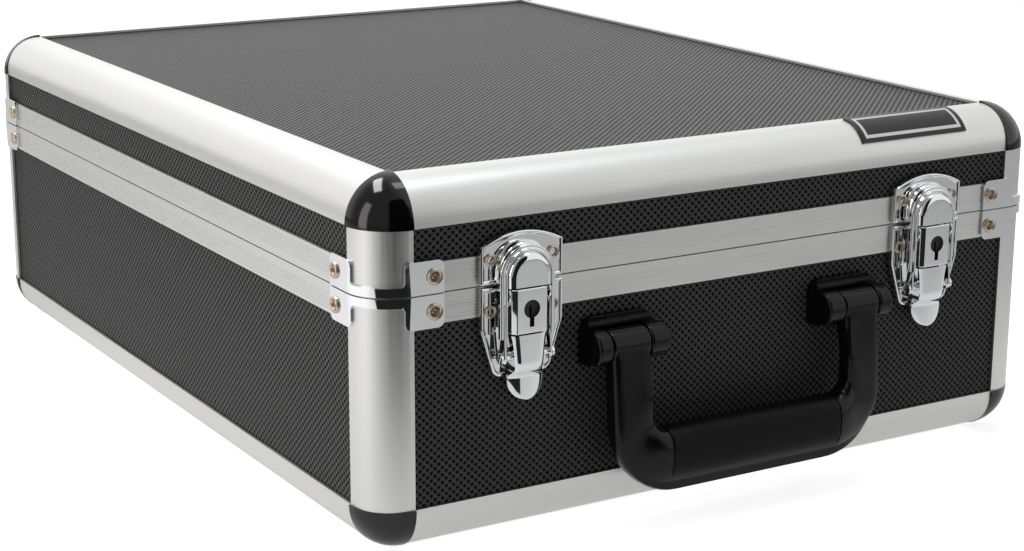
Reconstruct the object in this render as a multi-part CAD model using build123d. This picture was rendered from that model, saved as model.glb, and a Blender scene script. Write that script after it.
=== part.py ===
from build123d import *
import os

os.makedirs("parts", exist_ok=True)

# A flight case for a desktop mixer, lying on its base with the lid closed.
# X runs to the right, Y from the front to the back and Z up, all in millimetres.
# The origin is the middle of the whole footprint, at the floor under the feet.
# Every piece is drawn with the shell's bottom at zero and its plan centred, then moved.

# Shell
WIDTH = 360.0  # outside of the aluminium, left to right
DEPTH = 466.0  # outside of the aluminium, front to back
PARTING = 112.3  # from the bottom to the line where the lid leaves the base
LID_HEIGHT = 47.7  # from that line to the top
PARTING_GAP = 0.5  # open line between the two closure strips
SLIP = 0.1  # clearance of a panel in its aluminium channel
SEAT = 0.3  # clearance of a soft part from what carries it
CUT_PAST = 1.0  # how far a cut runs out past a face

# Aluminium edges, posts and closure strips
LEG = 20.0  # flange of an edge, measured from the outer corner
EDGE_RADIUS = 18.0  # outer rounding of an edge
WALL = 1.2  # aluminium wall
STRIP_HEIGHT = 13.0  # visible height of a closure strip
STRIP_GRIP = 4.4  # how far a channel reaches over a panel
STRIP_LEG = 15.0  # inner leg of a closure strip
TONGUE_THICK = 1.6
TONGUE_RISE = 3.0
TONGUE_CLEARANCE = 0.8
GROOVE_WIDTH = 0.6
GROOVE_DEPTH = 0.3
GROOVE_PITCH = 1.3
GROOVE_COUNT = 6
GROOVE_START = 1.6  # first groove, from the panel side of a closure strip

# Panels and foam
PANEL_THICK = 6.0
PANEL_RECESS = 1.5  # panel face behind the aluminium face
FLOOR_FOAM = 10.0
LID_FOAM = 15.0
WALL_FOAM = 5.0

# Corners
BALL_RADIUS = 21.0
STUB_LENGTH = 12.0
STUB_THICK = 3.0
CLAMP_THICK = 1.2
CLAMP_BAND = 4.0  # height of the band round the post
CLAMP_HEIGHT = 14.0  # height of an ear
CLAMP_EAR_START = 15.5  # from the outer corner, on the rounding of the post
CLAMP_WIDTH = 18.0  # width of an ear
CLAMP_LIFT = 0.3  # clamp above its side of the parting line
CLAMP_FILLET = 3.0
CLAMP_CROOK = 2.0  # radius where an ear runs into the band
CLAMP_RIVET_IN = 29.0  # rivet from the outer corner
CLAMP_RIVET_OFF = 7.4  # rivet from the parting line

# Hollow rivets and wood screws
RIVET_HEAD = 3.7
LATCH_RIVET_HEAD = 2.8
RIVET_DOME = 1.2
RIVET_RIM = 0.7  # rim round the dimple
RIVET_SHANK = 2.0
RIVET_LENGTH = 6.5
BORE_SLIP = 0.05
SCREW_HEAD = 3.5
SCREW_HEAD_THICK = 1.4
SCREW_SHANK = 1.75
SCREW_BITE = 5.0

# Feet
FOOT_RADIUS = 8.0
FOOT_TAPER = 1.0
FLOOR_GAP = 3.0  # aluminium above the floor
FOOT_INSET = 45.0
REAR_FOOT_REACH = 12.0
REAR_FOOT_LOW = 32.0
REAR_FOOT_DROP = 28.3  # upper one, below the parting line

# Badge plate on the front top edge
BADGE_INSET = 44.0  # from the right side
BADGE_WIDTH = 62.0
BADGE_THICK = 0.8
BADGE_WRAP = 57.0  # degrees round the edge
BADGE_TILT = 2.0  # degrees from the top before it starts

# Hinges
HINGE_INSET = 70.0  # middle of a hinge from the side
HINGE_OUT = 5.0  # pin axis behind the back face
HINGE_WIDTH = 50.0
HINGE_KNUCKLE = 4.0
HINGE_PIN = 2.0
HINGE_LEAF = 1.5
HINGE_LEAF_HEIGHT = 13.0
HINGE_KNUCKLES = 5
HINGE_PLAY = 0.3
HINGE_RIVET_OFF = 8.4
HINGE_RIVET_STEP = 18.0

# Latches, with heights from the parting line
LATCH_INSET = 69.8  # middle of a latch from the side
PLATE_HALF = 20.0
PLATE_OUT = 1.8
PLATE_THICK = 1.2
CATCH_SIDE_TOP = 16.6
CATCH_TOP = 22.2
CATCH_RIVET_X = 15.0
LATCH_RIVET_OFF = 11.1
ARCH_HALF = 12.0
ARCH_TOP = 17.7
ARCH_BOTTOM = 3.7
ARCH_OUT = 5.0
BASE_PLATE_SIDE = -18.6
BASE_PLATE_BOTTOM = -39.8
BASE_PLATE_FOOT_HALF = 13.5
BASE_PLATE_FOOT_RIVET = -34.3
LEVER_PIVOT_OUT = 6.9
LEVER_PIVOT_Z = -3.1
LEVER_PIN = 1.3
LUG_INNER = 9.2
LUG_THICK = 0.9
LUG_RADIUS = 2.7
KEY_HALF = 8.9
KEY_OUT = 10.5
KEY_TOP = -0.9
KEY_BOTTOM = -20.2
CHEEK_BACK = 3.5
NECK_OUT = 9.9
NECK_BACK = 2.8
NECK_BOTTOM = -36.5
NECK_HALF = 6.6
SHEET = 1.3
BEVEL = 1.8
TAB_RADIUS = 8.8
TAB_CENTRE = -41.1
TAB_OUT = 7.3
KEYHOLE_Z = -9.7
KEYHOLE_RADIUS = 3.9
KEYHOLE_SLOT = 2.2
KEYHOLE_FOOT = -17.4
PLUG_RADIUS = 4.4
PLUG_BACK = 3.6
COLLAR_THICK = 0.85
CAM_LENGTH = 6.5
CAM_WIDTH = 4.0
CAM_THICK = 1.0
HASP_HALF = 13.2
HASP_TOP = 17.2
HASP_BACK = 6.0
HASP_RIM_THICK = 1.3
HASP_STEP_HALF = 11.6
HASP_STEP = 1.3
HASP_OPENING = 10.4
HASP_SPLIT = -0.2
HASP_LEG_END = -22.2
BOSS_HALF = 9.8
BOSS_OUT = 10.4
HASP_PIVOT_OUT = 5.4
HASP_PIVOT_Z = -30.8
HASP_PIN = 1.5
HASP_EYE = 3.0
HASP_EYE_THICK = 1.4
HASP_EYE_LAP = 4.0  # eye plate behind the leg of the frame
HASP_STEP_END = 2.0
PIN_HEAD = 1.0
PIN_HEAD_LAP = 1.0

# Handle, with heights from its pivot
HANDLE_OUT = 8.9  # pivot in front of the face
HANDLE_DROP = 32.2  # pivot below the parting line
HANDLE_PIN = 2.5
MOUNT_SPACE = 10.4  # from a mount to the latch beside it
MOUNT_OUTSIDE = 16.9  # outer end of a mount from the middle of its arm
MOUNT_INSIDE = 19.1  # inner end of a mount from the middle of its arm
MOUNT_PAD = 1.0
MOUNT_LOW = -8.5
MOUNT_HIGH = 11.6
MOUNT_CORNER = 6.0
MOUNT_GAP = 9.9  # half of the space between two barrels
MOUNT_SCREW_X = 13.0
MOUNT_SCREW_Z = 4.5
MOUNT_SCREW_BITE = 10.0
BARREL_RADIUS = 7.7
BARREL_FILLET = 1.2
HOOD_LOW = 7.9
HOOD_LIP = 9.3
HOOD_OUT = 5.0
HUB_SLIP = 0.3  # hub of the bow from the barrels and the hood
ARM_WIDTH = 19.2
ARM_THICK = 9.5
ARM_OUT = 20.0
ARM_SLOPE = 24.0  # height under the pivot over which the front comes out
BOW_BOTTOM = -67.5
BOW_RADIUS = 32.0
BOW_BAR_TOP = -43.0
BOW_INNER_RADIUS = 8.0
BOW_FILLET = 2.5
GRIP_SHORT = 16.5  # end of the grip from the middle of an arm
GRIP_LOW = -62.0
GRIP_TOP = -38.5
GRIP_OUT = 24.3
GRIP_THICK = 17.4
GRIP_FILLET = 8.0

# What follows from the sizes above
CHANNEL_WEB = LEG - STRIP_GRIP
PANEL_BACK = PANEL_RECESS + PANEL_THICK
INNER_FACE = PANEL_BACK + SLIP + WALL
HEIGHT = PARTING + LID_HEIGHT
SHELL_SHIFT = (GRIP_OUT - REAR_FOOT_REACH) / 2
HALF_WIDTH = WIDTH / 2
HALF_DEPTH = DEPTH / 2
CLAMP_REACH = CLAMP_EAR_START + CLAMP_WIDTH
LATCH_X = HALF_WIDTH - LATCH_INSET
ARM_X = LATCH_X - PLATE_HALF - MOUNT_SPACE - MOUNT_OUTSIDE
HANDLE_Z = PARTING - HANDLE_DROP
ARM_OUTER = ARM_X + ARM_WIDTH / 2
ARM_INNER = ARM_X - ARM_WIDTH / 2
GRIP_HALF = ARM_X - GRIP_SHORT
HINGE_X = HALF_WIDTH - HINGE_INSET
BADGE_LEFT = HALF_WIDTH - BADGE_INSET - BADGE_WIDTH


def block(x, y, z):
    """A box between pairs of limits."""
    box = Box(x[1] - x[0], y[1] - y[0], z[1] - z[0])
    return Pos((x[0] + x[1]) / 2, (y[0] + y[1]) / 2, (z[0] + z[1]) / 2) * box


def rod(start, direction, length, radius):
    """A round bar from a point along a direction."""
    foot = Plane(origin=start, z_dir=direction)
    return extrude(foot * Circle(radius), length)


def rect(x, y):
    """A flat rectangle between pairs of limits."""
    return Pos((x[0] + x[1]) / 2, (y[0] + y[1]) / 2) * Rectangle(x[1] - x[0], y[1] - y[0])


def outline(*points):
    """A flat polygon through points."""
    return make_face(Polyline(*points, close=True))


def group(pieces):
    """Separate solids that share one node."""
    return Compound(children=[solid for piece in pieces for solid in piece.solids()])


def both_sides(piece):
    """The piece and its twin on the other side."""
    return [piece, mirror(piece, Plane.YZ)]


def four_corners(piece):
    """A piece from the front left corner, repeated at all four."""
    pair = both_sides(piece)
    return pair + [mirror(one, Plane.XZ) for one in pair]


def save(name, piece, place):
    """Put a piece in its place on the floor and write it."""
    on_floor = Pos(0, SHELL_SHIFT, FLOOR_GAP) * place(piece)
    export_step(on_floor, f"parts/{name}.step")


def as_base(piece):
    """The base is drawn the right way up."""
    return piece


def as_lid(piece):
    """The lid is drawn like a base and turned over."""
    return Pos(0, 0, HEIGHT) * mirror(piece, Plane.XY)


# Sections of the aluminium

def rounded_corner(start, end, radius):
    """A square between two limits on both axes, rounded at its first corner."""
    square = rect((start, end), (start, end))
    corner = square.vertices().sort_by(lambda v: v.X + v.Y)[0]
    return fillet(corner, radius)


def edge_section():
    """Round shell, two panel channels and the inner angle."""
    inner = PANEL_BACK + SLIP
    section = rounded_corner(0, LEG, EDGE_RADIUS)
    section -= rounded_corner(WALL, LEG + WALL, EDGE_RADIUS - WALL)
    for turn in (False, True):
        web = ((CHANNEL_WEB - WALL, CHANNEL_WEB), (WALL / 2, inner + WALL / 2))
        leg = ((inner, LEG), (inner, inner + WALL))
        for x, y in (web, leg):
            section += rect(y, x) if turn else rect(x, y)
    return section


def strip_section(half_height, tongue):
    """A closure strip: depth behind the face against height in its half."""
    inner = PANEL_BACK + SLIP
    top = half_height - PARTING_GAP / 2
    foot = half_height - STRIP_HEIGHT
    web_top = foot + STRIP_GRIP + WALL
    section = rect((0, WALL), (foot, top))
    section += rect((0, inner + WALL), (top - WALL, top))
    section += rect((inner, inner + WALL), (half_height - STRIP_LEG, top))
    section += rect((0, inner + WALL), (web_top - WALL, web_top))
    tongue_mid = (WALL + inner) / 2
    if tongue:
        side = TONGUE_THICK / 2
        section += rect((tongue_mid - side, tongue_mid + side), (top - WALL, half_height + TONGUE_RISE))
    else:
        side = TONGUE_THICK / 2 + TONGUE_CLEARANCE
        section -= rect((tongue_mid - side, tongue_mid + side), (top - 2 * WALL, top + WALL))
    for index in range(GROOVE_COUNT):
        low = foot + GROOVE_START + index * GROOVE_PITCH
        section -= rect((-GROOVE_DEPTH, GROOVE_DEPTH), (low, low + GROOVE_WIDTH))
    return section


def along_x(section, half_length):
    """Sweep a section along the front face, depth going back."""
    start = Plane(origin=(-half_length, -HALF_DEPTH, 0), x_dir=(0, 1, 0), z_dir=(1, 0, 0))
    return extrude(start * section, 2 * half_length)


def along_y(section, half_length):
    """Sweep a section along the left face, depth going right."""
    start = Plane(origin=(-HALF_WIDTH, half_length, 0), x_dir=(1, 0, 0), z_dir=(0, -1, 0))
    return extrude(start * section, 2 * half_length)


# Fasteners and their bores

def rivet(head):
    """A hollow rivet with a dimpled dome, its seat at zero and its shank along Z."""
    dome = Pos(0, 0, -RIVET_DOME / 2) * Cylinder(head, RIVET_DOME)
    rim = dome.edges().filter_by(GeomType.CIRCLE).sort_by(Axis.Z)[0]
    dome = fillet(rim, RIVET_DOME / 2)
    shank = Pos(0, 0, RIVET_LENGTH / 2) * Cylinder(RIVET_SHANK, RIVET_LENGTH)
    dimple = Pos(0, 0, -RIVET_DOME) * Sphere(head - RIVET_RIM)
    floor = Pos(0, 0, -RIVET_DOME) * Cylinder(head, RIVET_DOME * 1.5)
    return dome + shank - (dimple & floor)


def screw(bite):
    """A pan head wood screw, its seat at zero and its shank along Z."""
    head = Pos(0, 0, -SCREW_HEAD_THICK / 2) * Cylinder(SCREW_HEAD, SCREW_HEAD_THICK)
    slot = Pos(0, 0, -SCREW_HEAD_THICK) * Box(SCREW_HEAD, SCREW_HEAD_THICK / 2, SCREW_HEAD_THICK)
    shank = Pos(0, 0, bite / 2) * Cylinder(SCREW_SHANK, bite)
    return head + shank - slot


def placed(piece, seat, direction):
    """Turn a fastener so that it points into the wall at its seat."""
    return Plane(origin=seat, z_dir=direction).location * piece


def bored(piece, seats, direction, length, radius):
    """Clearance holes for fasteners through a piece."""
    for seat in seats:
        piece -= rod(seat, direction, length, radius + BORE_SLIP)
    return piece


def clamp_seats(half_height):
    """Rivets of the corner clamp on the front face, then on the left face."""
    level = half_height - CLAMP_RIVET_OFF
    front_x = HALF_WIDTH - CLAMP_RIVET_IN
    side_y = HALF_DEPTH - CLAMP_RIVET_IN
    fronts = [(side * front_x, -HALF_DEPTH - CLAMP_THICK, level) for side in (-1, 1)]
    lefts = [(-HALF_WIDTH - CLAMP_THICK, side * side_y, level) for side in (-1, 1)]
    return fronts, lefts


def latch_seats(half_height, spread):
    """Rivets of the latch plates beside the closure line, on the front face."""
    level = half_height - LATCH_RIVET_OFF
    across = [side * LATCH_X + step for side in (-1, 1) for step in (-spread, spread)]
    return [(x, -HALF_DEPTH - PLATE_OUT, level) for x in across]


def plate_foot_seats():
    """The third rivet of each latch base plate, under the lever."""
    level = PARTING + BASE_PLATE_FOOT_RIVET
    return [(side * LATCH_X, -HALF_DEPTH - PLATE_OUT, level) for side in (-1, 1)]


def hinge_seats(half_height):
    """Rivets of the hinge leaves on the back face."""
    level = half_height - HINGE_RIVET_OFF
    steps = (-HINGE_RIVET_STEP, 0, HINGE_RIVET_STEP)
    across = [side * HINGE_X + step for side in (-1, 1) for step in steps]
    return [(x, HALF_DEPTH + HINGE_LEAF, level) for x in across]


def foot_seats():
    """Feet under the base, at the face of the bottom panel."""
    x = HALF_WIDTH - FOOT_INSET
    y = HALF_DEPTH - FOOT_INSET
    return [(sx * x, sy * y, PANEL_RECESS) for sx in (-1, 1) for sy in (-1, 1)]


def rear_foot_seats():
    """Feet on the back panel, below and beside the hinges."""
    x = HALF_WIDTH - FOOT_INSET
    levels = (REAR_FOOT_LOW, PARTING - REAR_FOOT_DROP)
    return [(side * x, HALF_DEPTH - PANEL_RECESS, z) for side in (-1, 1) for z in levels]


def mount_screw_seats():
    """Screws of the handle mounts, from inside the front panel."""
    across = [side * ARM_X + step for side in (-1, 1) for step in (-MOUNT_SCREW_X, MOUNT_SCREW_X)]
    levels = (HANDLE_Z - MOUNT_SCREW_Z, HANDLE_Z + MOUNT_SCREW_Z)
    return [(x, -HALF_DEPTH + PANEL_BACK, z) for x in across for z in levels]


# Shell pieces, each drawn for a half of the given height

def flat_panel():
    """Bottom or top panel, notched round the corner balls."""
    x = HALF_WIDTH - CHANNEL_WEB - SLIP
    y = HALF_DEPTH - CHANNEL_WEB - SLIP
    panel = block((-x, x), (-y, y), (PANEL_RECESS, PANEL_BACK))
    notch = block(
        (-HALF_WIDTH, -HALF_WIDTH + LEG + SLIP),
        (-HALF_DEPTH, -HALF_DEPTH + LEG + SLIP),
        (0, LEG),
    )
    for corner in four_corners(notch):
        panel -= corner
    return panel


def wall_blank(half_span, half_height):
    """A standing panel drawn across X, its face at zero depth."""
    side = half_span - CHANNEL_WEB - SLIP
    top = half_height - STRIP_HEIGHT + STRIP_GRIP - SLIP
    low = CHANNEL_WEB + SLIP
    notch = half_span - LEG - SLIP
    shape = rect((-side, side), (LEG + SLIP, top)) + rect((-notch, notch), (low, LEG + 2 * SLIP))
    start = Plane(origin=(0, PANEL_BACK, 0), x_dir=(1, 0, 0), z_dir=(0, -1, 0))
    return extrude(start * shape, PANEL_THICK)


def front_panel(half_height):
    return Pos(0, -HALF_DEPTH, 0) * wall_blank(HALF_WIDTH, half_height)


def back_panel(half_height):
    return mirror(front_panel(half_height), Plane.XZ)


def left_panel(half_height):
    return Pos(-HALF_WIDTH, 0, 0) * (Rot(0, 0, -90) * wall_blank(HALF_DEPTH, half_height))


def posts(half_height):
    """The four corner posts between the balls and the parting line."""
    corner = Plane(origin=(-HALF_WIDTH, -HALF_DEPTH, LEG))
    post = extrude(corner * edge_section(), half_height - PARTING_GAP / 2 - LEG)
    return four_corners(post)


def closure_frame(half_height, tongue):
    """The four closure strips between the posts: front, back, left and right."""
    section = strip_section(half_height, tongue)
    front = along_x(section, HALF_WIDTH - LEG)
    left = along_y(section, HALF_DEPTH - LEG)
    fronts, lefts = clamp_seats(half_height)
    latches = latch_seats(half_height, CATCH_RIVET_X)
    holes = RIVET_LENGTH + PLATE_OUT
    back = mirror(front, Plane.XZ)
    front = bored(front, fronts, (0, 1, 0), holes, RIVET_SHANK)
    front = bored(front, latches, (0, 1, 0), holes, RIVET_SHANK)
    back = bored(back, [(x, -y, z) for x, y, z in fronts], (0, -1, 0), holes, RIVET_SHANK)
    back = bored(back, hinge_seats(half_height), (0, -1, 0), holes, RIVET_SHANK)
    left = bored(left, lefts, (1, 0, 0), holes, RIVET_SHANK)
    return [front, back] + both_sides(left)


def corner_ball():
    """Moulded corner: a round outside, a square inside and stubs in the edges."""
    centre = (-HALF_WIDTH + LEG, -HALF_DEPTH + LEG, LEG)
    ball = Pos(*centre) * Sphere(BALL_RADIUS)
    low = [middle - BALL_RADIUS for middle in centre]
    ball &= block((low[0], centre[0]), (low[1], centre[1]), (low[2], centre[2]))
    inside = INNER_FACE - LEG
    ball -= block(
        (centre[0] + inside, centre[0]),
        (centre[1] + inside, centre[1]),
        (centre[2] + inside, centre[2]),
    )
    wide = (CHANNEL_WEB - WALL - SLIP - STUB_THICK, CHANNEL_WEB - WALL - SLIP)
    thin = (PANEL_BACK - STUB_THICK, PANEL_BACK)
    far = (LEG, LEG + STUB_LENGTH)
    for a, b in ((wide, thin), (thin, wide)):
        for x, y, z in ((far, a, b), (a, far, b), (a, b, far)):
            ball += Pos(-HALF_WIDTH, -HALF_DEPTH, 0) * block(x, y, z)
    return ball


def corner_clamp(half_height):
    """A band round the post with a riveted ear on each face."""
    low = half_height - CLAMP_LIFT - CLAMP_HEIGHT
    profile = rounded_corner(-CLAMP_THICK, CLAMP_REACH, EDGE_RADIUS + CLAMP_THICK)
    profile -= rounded_corner(0, CLAMP_REACH + CLAMP_THICK, EDGE_RADIUS)
    corner = Plane(origin=(-HALF_WIDTH, -HALF_DEPTH, low))
    clamp = extrude(corner * profile, CLAMP_HEIGHT)
    band_low = half_height - CLAMP_LIFT - CLAMP_BAND
    clamp -= block(
        (-HALF_WIDTH - CLAMP_THICK * 2, -HALF_WIDTH + CLAMP_EAR_START),
        (-HALF_DEPTH - CLAMP_THICK * 2, -HALF_DEPTH + CLAMP_EAR_START),
        (low - CUT_PAST, band_low),
    )
    thin = clamp.edges().filter_by(lambda e: abs(e.length - CLAMP_THICK) < BORE_SLIP)
    clamp = fillet(thin.filter_by(lambda e: e.center().Z < low + SEAT), CLAMP_FILLET)
    thin = clamp.edges().filter_by(lambda e: abs(e.length - CLAMP_THICK) < BORE_SLIP)
    clamp = fillet(thin.filter_by(lambda e: abs(e.center().Z - band_low) < SEAT), CLAMP_CROOK)
    fronts, lefts = clamp_seats(half_height)
    clamp = bored(clamp, fronts[:1], (0, 1, 0), RIVET_LENGTH, RIVET_SHANK)
    return bored(clamp, lefts[:1], (1, 0, 0), RIVET_LENGTH, RIVET_SHANK)


def clamp_rivets(half_height):
    fronts, lefts = clamp_seats(half_height)
    first = placed(rivet(RIVET_HEAD), fronts[0], (0, 1, 0))
    second = placed(rivet(RIVET_HEAD), lefts[0], (1, 0, 0))
    return four_corners(first) + four_corners(second)


def wall_foam(low, high):
    """Four foam strips standing against the walls."""
    x = HALF_WIDTH - INNER_FACE - SEAT
    y = HALF_DEPTH - INNER_FACE - SEAT
    front = block((-x, x), (-y, -y + WALL_FOAM), (low, high))
    side = y - WALL_FOAM - SEAT
    left = block((-x, -x + WALL_FOAM), (-side, side), (low, high))
    return [front, mirror(front, Plane.XZ)] + both_sides(left)


def flat_foam(thick):
    """The foam pad on the bottom of the base or under the top of the lid."""
    x = HALF_WIDTH - INNER_FACE - SEAT
    y = HALF_DEPTH - INNER_FACE - SEAT
    low = INNER_FACE + SEAT
    return block((-x, x), (-y, y), (low, low + thick))


# Half shells

def base_front_panel():
    panel = front_panel(PARTING)
    seats = latch_seats(PARTING, CATCH_RIVET_X) + plate_foot_seats()
    deep = RIVET_LENGTH + PLATE_OUT
    panel = bored(panel, seats, (0, 1, 0), deep, RIVET_SHANK)
    return bored(panel, mount_screw_seats(), (0, -1, 0), PANEL_THICK * 2, SCREW_SHANK)


def base_back_panel():
    panel = bored(back_panel(PARTING), rear_foot_seats(), (0, -1, 0), SCREW_BITE, SCREW_SHANK)
    return bored(panel, hinge_seats(PARTING), (0, -1, 0), RIVET_LENGTH, RIVET_SHANK)


def lid_front_panel():
    seats = latch_seats(LID_HEIGHT, CATCH_RIVET_X)
    return bored(front_panel(LID_HEIGHT), seats, (0, 1, 0), RIVET_LENGTH + PLATE_OUT, RIVET_SHANK)


def lid_back_panel():
    seats = hinge_seats(LID_HEIGHT)
    return bored(back_panel(LID_HEIGHT), seats, (0, -1, 0), RIVET_LENGTH, RIVET_SHANK)


def write_half(half, half_height, place, front, back, tongue):
    """Write the aluminium, panels, corners and clamps of the base or the lid."""
    edge_x = along_x(edge_section(), HALF_WIDTH - LEG)
    edge_y = along_y(edge_section(), HALF_DEPTH - LEG)
    fronts, lefts = clamp_seats(half_height)
    deep = RIVET_LENGTH + PLATE_OUT
    front = bored(front, fronts, (0, 1, 0), deep, RIVET_SHANK)
    back = bored(back, [(x, -y, z) for x, y, z in fronts], (0, -1, 0), deep, RIVET_SHANK)
    left = bored(left_panel(half_height), lefts, (1, 0, 0), deep, RIVET_SHANK)
    save(f"{half}_front_panel", front, place)
    save(f"{half}_back_panel", back, place)
    save(f"{half}_left_panel", left, place)
    save(f"{half}_right_panel", mirror(left, Plane.YZ), place)
    save(f"{half}_edge_front", edge_x, place)
    save(f"{half}_edge_back", mirror(edge_x, Plane.XZ), place)
    save(f"{half}_edge_left", edge_y, place)
    save(f"{half}_edge_right", mirror(edge_y, Plane.YZ), place)
    save(f"{half}_corner_posts", group(posts(half_height)), place)
    save(f"{half}_closure_frame", group(closure_frame(half_height, tongue)), place)
    save(f"{half}_corner_balls", group(four_corners(corner_ball())), place)
    save(f"{half}_corner_clamps", group(four_corners(corner_clamp(half_height))), place)
    save(f"{half}_clamp_rivets", group(clamp_rivets(half_height)), place)


# Feet

def rubber_foot(reach):
    """A round foot with a sunk screw seat, its back at zero and its face along -Z."""
    foot = Pos(0, 0, -reach / 2) * Cone(FOOT_RADIUS, FOOT_RADIUS - FOOT_TAPER, reach)
    foot = mirror(foot, Plane.XY.offset(-reach / 2))
    bore = Cylinder(SCREW_SHANK + BORE_SLIP, 3 * reach)
    sunk = reach / 2 + BORE_SLIP
    well = Pos(0, 0, -reach + sunk / 2) * Cylinder(SCREW_HEAD + SEAT, sunk)
    return foot - bore - well


def foot_screw(reach):
    """The screw in the well of a foot of the given height."""
    return Pos(0, 0, -reach / 2) * screw(reach / 2 + SCREW_BITE - SLIP)


def write_feet():
    low_reach = FLOOR_GAP + PANEL_RECESS
    rear_reach = REAR_FOOT_REACH + PANEL_RECESS
    low = [placed(rubber_foot(low_reach), seat, (0, 0, 1)) for seat in foot_seats()]
    rear = [placed(rubber_foot(rear_reach), seat, (0, -1, 0)) for seat in rear_foot_seats()]
    screws = [placed(foot_screw(low_reach), seat, (0, 0, 1)) for seat in foot_seats()]
    screws += [placed(foot_screw(rear_reach), seat, (0, -1, 0)) for seat in rear_foot_seats()]
    save("base_feet", group(low), as_base)
    save("rear_feet", group(rear), as_base)
    save("foot_screws", group(screws), as_base)


# Hinges

def hinge_leaf(half_height, own):
    """A leaf and its knuckles, drawn under the parting line at the left hinge."""
    pitch = HINGE_WIDTH / HINGE_KNUCKLES
    left = -HINGE_X - HINGE_WIDTH / 2
    back = (HALF_DEPTH, HALF_DEPTH + HINGE_LEAF)
    axis_y = HALF_DEPTH + HINGE_OUT
    clear = HINGE_KNUCKLE + HINGE_PLAY
    low = half_height - clear - HINGE_LEAF_HEIGHT
    leaf = block((left, left + HINGE_WIDTH), back, (low, half_height - clear))
    for index in own:
        start = left + index * pitch + HINGE_PLAY / 2
        end = start + pitch - HINGE_PLAY
        leaf += rod((start, axis_y, half_height), (1, 0, 0), end - start, HINGE_KNUCKLE)
        leaf += block((start, end), back, (half_height - clear - SLIP, half_height))
        leaf += block((start, end), (HALF_DEPTH, axis_y), (half_height - HINGE_LEAF, half_height))
    leaf -= rod((left, axis_y, half_height), (1, 0, 0), HINGE_WIDTH, HINGE_PIN + BORE_SLIP)
    seats = [seat for seat in hinge_seats(half_height) if seat[0] < 0]
    return bored(leaf, seats, (0, -1, 0), RIVET_LENGTH, RIVET_SHANK)


def hinge_pin():
    start = (-HINGE_X - HINGE_WIDTH / 2, HALF_DEPTH + HINGE_OUT, PARTING)
    return rod(start, (1, 0, 0), HINGE_WIDTH, HINGE_PIN)


def write_hinges():
    base_knuckles = range(0, HINGE_KNUCKLES, 2)
    lid_knuckles = range(1, HINGE_KNUCKLES, 2)
    save("hinge_base_leaves", group(both_sides(hinge_leaf(PARTING, base_knuckles))), as_base)
    save("hinge_lid_leaves", group(both_sides(hinge_leaf(LID_HEIGHT, lid_knuckles))), as_lid)
    save("hinge_pins", group(both_sides(hinge_pin())), as_base)
    base = [placed(rivet(RIVET_HEAD), seat, (0, -1, 0)) for seat in hinge_seats(PARTING)]
    lid = [placed(rivet(RIVET_HEAD), seat, (0, -1, 0)) for seat in hinge_seats(LID_HEIGHT)]
    save("hinge_base_rivets", group(base), as_base)
    save("hinge_lid_rivets", group(lid), as_lid)


# Latches, drawn at the middle of the front face with the parting line at zero

def standing(shape, front, back):
    """Extrude an X-Z outline between two distances in front of the face."""
    start = Plane(origin=(0, -HALF_DEPTH - back, 0), x_dir=(1, 0, 0), z_dir=(0, -1, 0))
    return extrude(start * shape, front - back)


def dome_shape(half, top, bottom):
    """An upright outline with a half-round top."""
    round_top = Pos(0, top - half) * Circle(half) & rect((-half, half), (top - half, top))
    return rect((-half, half), (bottom, top - half)) + round_top


def tray(shape, out):
    """A pressed plate with its edge returned to the face."""
    hollow = offset(shape, -PLATE_THICK)
    return standing(shape, out, 0) - standing(hollow, out - PLATE_THICK, -CUT_PAST)


def catch_shape():
    """Straight sides under a shallow arched top."""
    low = CLAMP_LIFT + SEAT
    sides = Polyline(
        (PLATE_HALF, CATCH_SIDE_TOP),
        (PLATE_HALF, low),
        (-PLATE_HALF, low),
        (-PLATE_HALF, CATCH_SIDE_TOP),
    )
    top = ThreePointArc((-PLATE_HALF, CATCH_SIDE_TOP), (0, CATCH_TOP), (PLATE_HALF, CATCH_SIDE_TOP))
    return make_face(sides + top)


def catch_plate():
    """The plate on the lid, with the embossed arch that the hasp draws down."""
    plate = tray(catch_shape(), PLATE_OUT)
    arch = dome_shape(ARCH_HALF, ARCH_TOP, ARCH_BOTTOM)
    hollow = dome_shape(ARCH_HALF - PLATE_THICK, ARCH_TOP - PLATE_THICK, ARCH_BOTTOM - CUT_PAST)
    plate += standing(arch, ARCH_OUT, PLATE_OUT - PLATE_THICK)
    plate -= standing(hollow, ARCH_OUT - PLATE_THICK, 0)
    seats = [(x, -HALF_DEPTH - PLATE_OUT, LATCH_RIVET_OFF) for x in (-CATCH_RIVET_X, CATCH_RIVET_X)]
    return bored(plate, seats, (0, 1, 0), RIVET_LENGTH, RIVET_SHANK)


def lug():
    """An ear of the base plate that carries the lever pin, across X."""
    y = -HALF_DEPTH - PLATE_OUT + PLATE_THICK / 2
    pivot = (-HALF_DEPTH - LEVER_PIVOT_OUT, LEVER_PIVOT_Z)
    shape = outline(
        (y, pivot[1] - 3 * LUG_RADIUS),
        (y, pivot[1] + LUG_RADIUS - SLIP),
        (pivot[0], pivot[1] + LUG_RADIUS - SLIP),
        (pivot[0], pivot[1] - LUG_RADIUS),
    )
    shape += Pos(*pivot) * Circle(LUG_RADIUS)
    shape -= Pos(*pivot) * Circle(LEVER_PIN + BORE_SLIP)
    start = Plane(origin=(LUG_INNER, 0, 0), x_dir=(0, 1, 0), z_dir=(1, 0, 0))
    return extrude(start * shape, LUG_THICK)


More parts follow.
